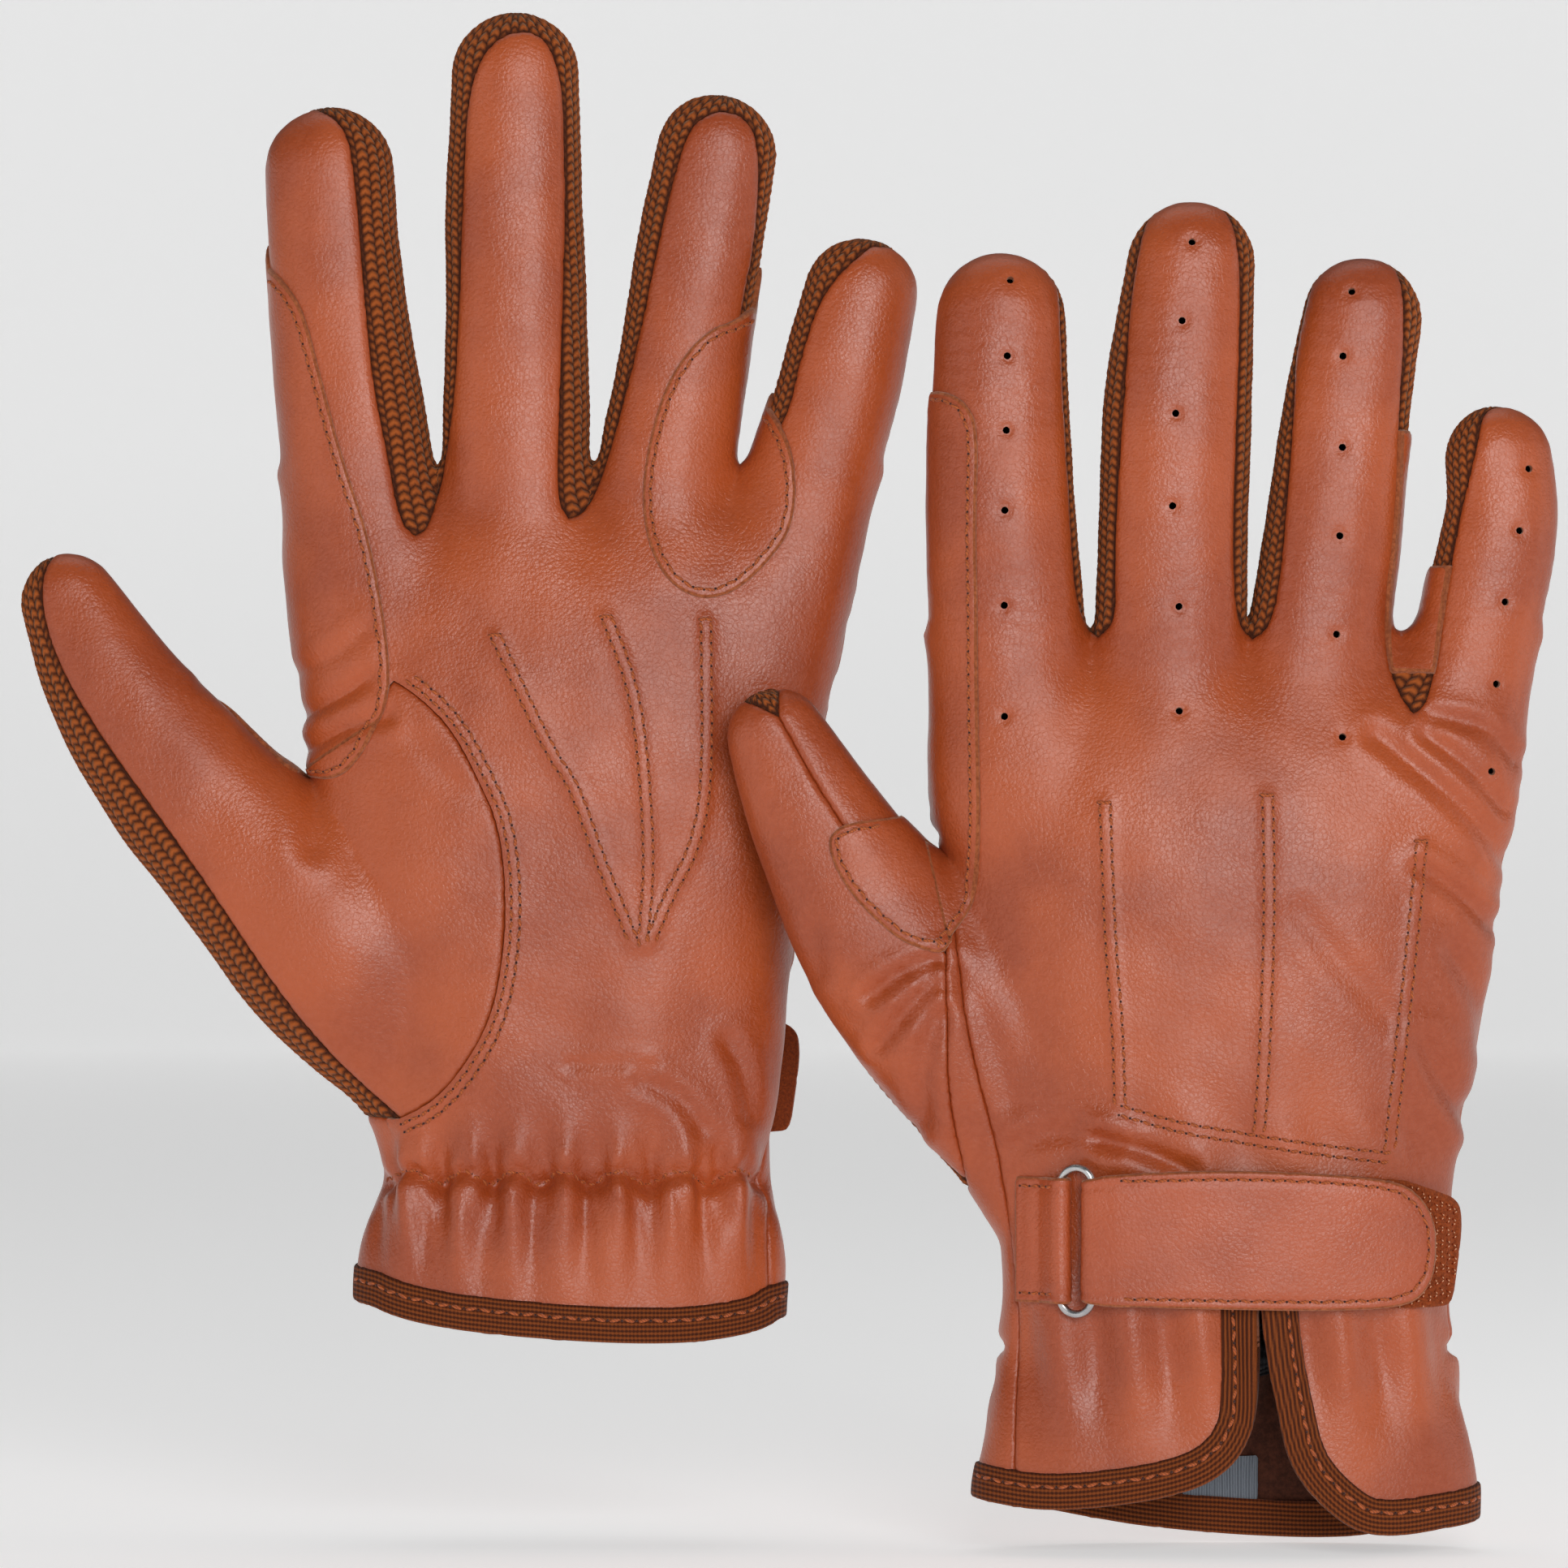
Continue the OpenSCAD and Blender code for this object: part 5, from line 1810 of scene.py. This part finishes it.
@dataclass
class Strap:
    """The strap on the back of the wrist: anchor, ring, tab and touch tape."""

    hand: Hand
    finishes: Finishes
    half_width: float = 48.0
    half_depth: float = 17.0
    roundness: float = 2.5
    tab_layer: float = 2.8
    thickness: float = 1.4
    bar: tuple[float, float] = (-25.3, 17.233)
    anchor_bar: tuple[float, float] = (-31.0, 15.36)
    fold_start: float = -21.0
    hook_pitch: float = 1.15
    hook_height: float = 0.85

    def __post_init__(self) -> None:
        """Finds the strap's height on the wrist."""
        left = self.hand is Hand.LEFT
        self.middle = 46.5 if left else 52.0
        self.wrist = 39.5 if left else 41.3
        self.shift = glove_origin(self.hand)
        self.body = f"{self.hand.value}_glove"

    def wrap(self, x: np.ndarray | float, lift: float, half_width: float | None = None) -> np.ndarray:
        """How far back a layer of the strap lies.

        Args:
            x: across the wrist.
            lift: the layer's height above the wrist.
            half_width: of the wrist, if not the strap's own.

        Returns:
            The layer's y.
        """
        w = (half_width or self.half_width) + lift
        share = np.clip(1 - (np.abs(x) / w) ** self.roundness, 0, 1)
        return (self.half_depth + lift) * share ** (1 / self.roundness)

    def leaf(self, path: np.ndarray, edge: np.ndarray, name: str, thick: float, soft: float,
             start: float) -> tuple[Piece, BVHTree]:
        """A strip of leather that follows a path, cut to an outline.

        Args:
            path: x and y of the strip's middle, by even steps of PATH_STEP.
            edge: the outline, in length along the path and height.
            name: the piece's name.
            thick: the leather's thickness.
            soft: how far the top edge is rounded.
            start: the path's length at its first point.

        Returns:
            The piece, and a tree of its outer side.
        """
        us = np.arange(edge[:, 0].min() - 1, edge[:, 0].max() + 1.5, 0.8)
        hs = np.arange(edge[:, 1].min() - 1, edge[:, 1].max() + 1.5, 0.8)
        u, h = np.meshgrid(us, hs, indexing="ij")
        i, j = np.meshgrid(np.arange(len(us) - 1), np.arange(len(hs) - 1), indexing="ij")
        a = (i * len(hs) + j).ravel()
        b = a + len(hs)
        tris = np.vstack([np.stack([a, a + 1, b + 1], 1), np.stack([a, b + 1, b], 1)])
        flat = Skin(np.stack([u.ravel(), np.zeros(u.size), h.ravel()], 1), tris)
        flat.values["edge"] = outline_distance(edge, u.ravel(), h.ravel())
        flat = flat.where("edge")
        flat = flat.refine(flat.values["edge"] < 2.2)
        flat = flat.split("edge", 0.45, snap=0.05)
        s, height = flat.points[:, 0] - start, flat.points[:, 2]
        run = np.arange(len(path)) * PATH_STEP
        x, y = np.interp(s, run, path[:, 0]), np.interp(s, run, path[:, 1])
        grad = np.gradient(path, axis=0)
        grad = unit(grad)
        tx, ty = np.interp(s, run, grad[:, 0]), np.interp(s, run, grad[:, 1])
        flat.points = np.stack([x, y, height + self.middle], 1)
        flat.values |= {"nx": -ty, "ny": tx, "nz": np.zeros(len(x))}
        e = flat.values["edge"]
        top = thick / 2 - soft * (1 - np.sqrt(1 - (1 - np.clip(e / 1.3, 0, 1)) ** 2))
        top += 0.10 * np.sin(s / 3.1) * np.sin(height / 4.7 + 1.0) * np.clip(e / 3, 0, 1)
        top -= 0.22 * np.exp(-((e - 1.7) / 0.55) ** 2)
        points, tris, kinds = shell(flat, top, -thick / 2)
        raw = kinds.copy()
        raw[:len(flat.tris)] = e[flat.tris].mean(1) < 0.45
        outer = BVHTree.FromPolygons(points.tolist(), tris[:len(flat.tris)].tolist())
        piece = Piece(name, points, tris, raw,
                      [self.finishes.strap_leather, self.finishes.raw_edge, self.finishes.suede],
                      {"rim": np.tile(np.clip(e, 0, 4), 2)})
        return piece, outer

    def turn(self, centre: tuple[float, float], radius: float, first: float, last: float) -> np.ndarray:
        """Points round a ring's leg, between two angles in degrees."""
        a = np.radians(np.linspace(first, last, 16))
        return np.stack([centre[0] + radius * np.cos(a), centre[1] + radius * np.sin(a)], 1)

    def tab(self) -> tuple[Piece, Piece]:
        """The tab, folded round the ring, and its stitches."""
        x = np.linspace(self.fold_start, 40.5, 90)
        top = np.stack([x, self.wrap(x, self.tab_layer + self.thickness / 2)], 1)
        under = np.array([(-11.5, 18.5), (-15, 18.25), (-18.5, 17.85), (-21.5, 17.1), (-23.3, 16.3)])
        fold = self.turn(self.bar, 1.45, -62, -255)
        path = resample(soften(np.vstack([under, fold, top]), 1), PATH_STEP)
        lead = int(np.argmin(np.hypot(path[:, 0] - self.fold_start, path[:, 1] - top[0, 1])))
        start = self.fold_start - lead * PATH_STEP
        run = np.arange(len(path)) * PATH_STEP + start
        front = path[:, 0] >= self.fold_start
        tip = soften(TAB_TIP)
        tip[:, 0] = np.interp(tip[:, 0], path[lead:, 0][front[lead:]], run[lead:][front[lead:]])
        edge = outline(tip, (self.fold_start - 2, -11.9), (self.fold_start - 6, -11.3), (start + 0.4, -10.6),
                       (start + 0.4, 10.6), (self.fold_start - 6, 11.3), (self.fold_start - 2, 12.1))
        piece, tree = self.leaf(path, edge, "strap_tab", self.thickness, 0.5, start)
        sewing = Sewing(tree, Template.stitch(), Template.hole())
        inset = soften(TAB_TIP) * (0.962, 0.875) + (0.1, 0.05)
        ends = np.vstack([[(-20, inset[0, 1])], inset, [(-20, inset[-1, 1])]])
        sewing.row(ends + (0, self.middle), Face.BACK, 0.02, length=2.0)
        return piece, sewing.piece("strap_stitching", self.finishes)

    def anchor(self) -> tuple[Piece, Piece]:
        """The short strap that holds the ring, and its stitches."""
        first = -36.5 if self.hand is Hand.LEFT else -39.2
        x = np.linspace(first, -34.5, 10)
        lead = np.stack([x, self.wrap(x, 0.65, self.wrist)], 1)
        fold = self.turn(self.anchor_bar, 1.5, 150, -100)
        back = np.array([(-32.6, 13.2), (-34.2, 12.2)])
        path = resample(soften(np.vstack([lead, fold, back]), 1), PATH_STEP)
        length = len(path) * PATH_STEP
        edge = np.array([(0.3, 11.6), (length - 4.5, 11.6), (length - 4, 10.4), (length - 0.6, 10.4),
                         (length - 0.6, -10.4), (length - 4, -10.4), (length - 4.5, -11.6), (0.3, -11.6)])
        piece, tree = self.leaf(path, edge, "strap_anchor", 1.2, 0.35, 0.0)
        sewing = Sewing(tree, Template.stitch(), Template.hole())
        for h in (-9.9, 9.9):
            line = np.array([(first + 0.8, h), (-33.0, h)]) + (0, self.middle)
            sewing.row(line, Face.BACK, 0.02, pitch=2.2)
        return piece, sewing.piece("anchor_stitching", self.finishes)

    def pad(self, edge: np.ndarray, name: str, low: float, top: float,
            materials: list[bpy.types.Material]) -> Piece:
        """A flat tape on the wrist's curve."""
        x = np.arange(-8, 46, PATH_STEP)
        path = resample(np.stack([x, self.wrap(x, (low + top) / 2)], 1), PATH_STEP)
        run = np.arange(len(path)) * PATH_STEP
        edge = edge.copy()
        edge[:, 0] = np.interp(edge[:, 0], path[:, 0], run)
        piece, _ = self.leaf(path, edge, name, top - low, 0.15, 0.0)
        piece.materials = materials
        piece.slots = np.zeros(len(piece.tris), int)
        return piece

    def hooks(self, edge: np.ndarray, base: float) -> Piece:
        """The hooks that stand on the hook tape."""
        bpy.ops.object.select_all(action="DESELECT")
        bpy.ops.mesh.primitive_cone_add(vertices=5, radius1=0.17, radius2=0.11, depth=1.0,
                                        location=(0, 0, 0.5))
        bpy.ops.object.transform_apply()
        bpy.ops.object.mode_set(mode="EDIT")
        bpy.ops.mesh.select_all(action="SELECT")
        bpy.ops.mesh.subdivide(number_cuts=1)
        bpy.ops.object.mode_set(mode="OBJECT")
        shape = Template.take()
        h = shape.points[:, 2]
        shape.points[:, 0] += 0.55 * np.clip(h - 0.4, 0, None) ** 1.2
        us = np.arange(-3.2, 43, self.hook_pitch)
        hs = np.arange(-11.8, 12.2, self.hook_pitch)
        u, v = (g.ravel() for g in np.meshgrid(us, hs, indexing="ij"))
        v = v + np.where((np.round(u / self.hook_pitch) % 2) == 0, self.hook_pitch / 2, 0)
        keep = outline_distance(edge, u, v) > 0.55
        u, v = u[keep], v[keep]
        rng = np.random.default_rng(7)
        u = u + rng.uniform(-0.12, 0.12, len(u))
        v = v + rng.uniform(-0.12, 0.12, len(v))
        y = self.wrap(u, base)
        slope = (self.wrap(u + 0.1, base) - self.wrap(u - 0.1, base)) / 0.2
        up = np.stack([-slope, np.ones(len(u)), rng.uniform(-0.12, 0.12, len(u))], 1)
        up = unit(up)
        spin = rng.uniform(-0.5, 0.5, len(u)) + np.where(np.arange(len(u)) % 2, math.pi, 0)
        along = np.stack([np.sin(spin), np.zeros(len(u)), np.cos(spin)], 1)
        side = np.cross(up, along)
        along = np.cross(side, up)
        along = unit(along)
        at = np.stack([u, y, v + self.middle], 1)
        points, tris = shape.copies(at, along, up, (1.0, 1.0, self.hook_height))
        tips = np.tile(np.clip(h, 0, 1), len(u))
        return Piece("hook_rows", points, tris, np.zeros(len(tris), int), [self.finishes.hooks],
                     {"tip": tips}, crease=None)

    def build(self) -> None:
        """Builds the strap's pieces and puts them on their bodies."""
        glove, tab_body = self.body, f"{self.hand.value}_tab"
        anchor, anchor_rows = self.anchor()
        tab, tab_rows = self.tab()
        loop_edge = np.array([(4, 10.4), (28, 10.4), (33.5, 8.6), (35.8, 4), (36.3, 0), (35.8, -4.5),
                              (33.5, -8.8), (28, -10.4), (4, -10.4)], float)
        loop = self.pad(soften(loop_edge, 1), "loop_pad", 1.62, 2.72, [self.finishes.loop_pile])
        hook_edge = soften(HOOK_TIP, 1)
        hook = self.pad(hook_edge, "hook_pad", 0.0, 0.55, [self.finishes.hook_tape])
        rows = self.hooks(hook_edge, 0.45)
        for piece, body in ((anchor, glove), (anchor_rows, glove), (hook, glove), (rows, glove),
                            (tab, tab_body), (tab_rows, tab_body), (loop, tab_body)):
            place_piece(piece, self.hand, self.shift, body)
        ring = frame["nodes"][f"{self.hand.value}_strap_ring"]
        ring.data.materials.clear()
        ring.data.materials.append(self.finishes.steel)
        log.info("%s: kept, in plated steel", ring.name)


# Studio


@dataclass
class Studio:
    """A pale floor, soft lights and the camera."""

    floor_z: float = -0.0425
    target: tuple[float, float, float] = (0.0404, -0.01, 0.1002)
    distance: float = 1.6
    view_width: float = 0.2937
    sensor: float = 36.0

    def floor(self) -> None:
        """A pale floor that rises far away on all sides."""
        bpy.ops.object.select_all(action="DESELECT")
        bpy.ops.mesh.primitive_circle_add(vertices=96, radius=3.0, fill_type="NGON",
                                          location=(0, 0, self.floor_z))
        floor = bpy.context.active_object
        floor.name = "studio_floor"
        bpy.ops.object.mode_set(mode="EDIT")
        bpy.ops.mesh.select_all(action="SELECT")
        for rise, grow in ((0.01, 1.03), (0.04, 1.04), (0.1, 1.05), (0.2, 1.05), (0.45, 1.03)):
            bpy.ops.mesh.extrude_region_move(TRANSFORM_OT_translate={"value": (0, 0, rise)})
            bpy.ops.transform.resize(value=(grow, grow, 1))
        bpy.ops.mesh.delete(type="ONLY_FACE")
        bpy.ops.object.mode_set(mode="OBJECT")
        bpy.ops.object.transform_apply(location=True, rotation=True, scale=True)
        n = Nodes("studio_paper")
        floor.data.materials.append(n.finish((0.92, 0.92, 0.92), 0.9, n.noise(200.0), 0.02, 0.1,
                                             Emission_Color=(1.0, 1.0, 1.0), Emission_Strength=0.45))
        for polygon in floor.data.polygons:
            polygon.use_smooth = True

    def light(self, name: str, at: tuple[float, float, float], size: tuple[float, float], power: float,
              colour: tuple[float, float, float] = (1, 1, 1)) -> None:
        """Adds one soft light, aimed at the gloves.

        Args:
            name: its name.
            at: where it is.
            size: its width and height.
            power: in watts.
            colour: its colour.
        """
        data = bpy.data.lights.new(name, "AREA")
        data.shape = "RECTANGLE"
        data.size, data.size_y = size
        data.energy = power
        data.color = colour
        lamp = bpy.data.objects.new(name, data)
        bpy.context.scene.collection.objects.link(lamp)
        lamp.location = at
        lamp.rotation_euler = (Vector(self.target) - Vector(at)).to_track_quat("-Z", "Y").to_euler()

    def camera(self) -> None:
        """Sets the camera straight in front of the pair."""
        data = bpy.data.cameras.new("studio_camera")
        data.sensor_width = self.sensor
        data.lens = self.sensor * self.distance / self.view_width
        data.clip_end = 20
        camera = bpy.data.objects.new("studio_camera", data)
        bpy.context.scene.collection.objects.link(camera)
        camera.location = (self.target[0], self.target[1] - self.distance, self.target[2])
        camera.rotation_euler = (math.pi / 2, 0, 0)
        bpy.context.scene.camera = camera

    def build(self) -> None:
        """Sets up the whole studio."""
        self.floor()
        self.light("key", (0.32, -1.45, 0.42), (0.6, 0.6), 9.0)
        self.light("fill", (-1.0, -0.9, 0.35), (0.5, 0.9), 0.9, (0.93, 0.96, 1.0))
        self.light("rim", (1.1, -0.15, 0.35), (0.4, 1.0), 1.1)
        self.light("top", (0.0, 0.25, 1.2), (1.0, 0.7), 1.8)
        world = bpy.data.worlds.new("studio_world")
        world.use_nodes = True
        world.node_tree.nodes["Background"].inputs[0].default_value = (1, 1, 1, 1)
        world.node_tree.nodes["Background"].inputs[1].default_value = 0.12
        bpy.context.scene.world = world
        bpy.context.scene.view_settings.view_transform = "Standard"
        self.camera()


def main() -> None:
    """Builds the pair of gloves and the studio, and reports every piece."""
    logging.basicConfig(level=logging.INFO, format="%(name)s: %(message)s")
    bpy.ops.object.select_all(action="DESELECT")
    finishes = Finishes.make()
    for hand in Hand:
        glove = Glove(hand, finishes)
        glove.build()
        glove.dress()
        Strap(hand, finishes).build()
    Studio().build()


if __name__ == "__main__":
    main()
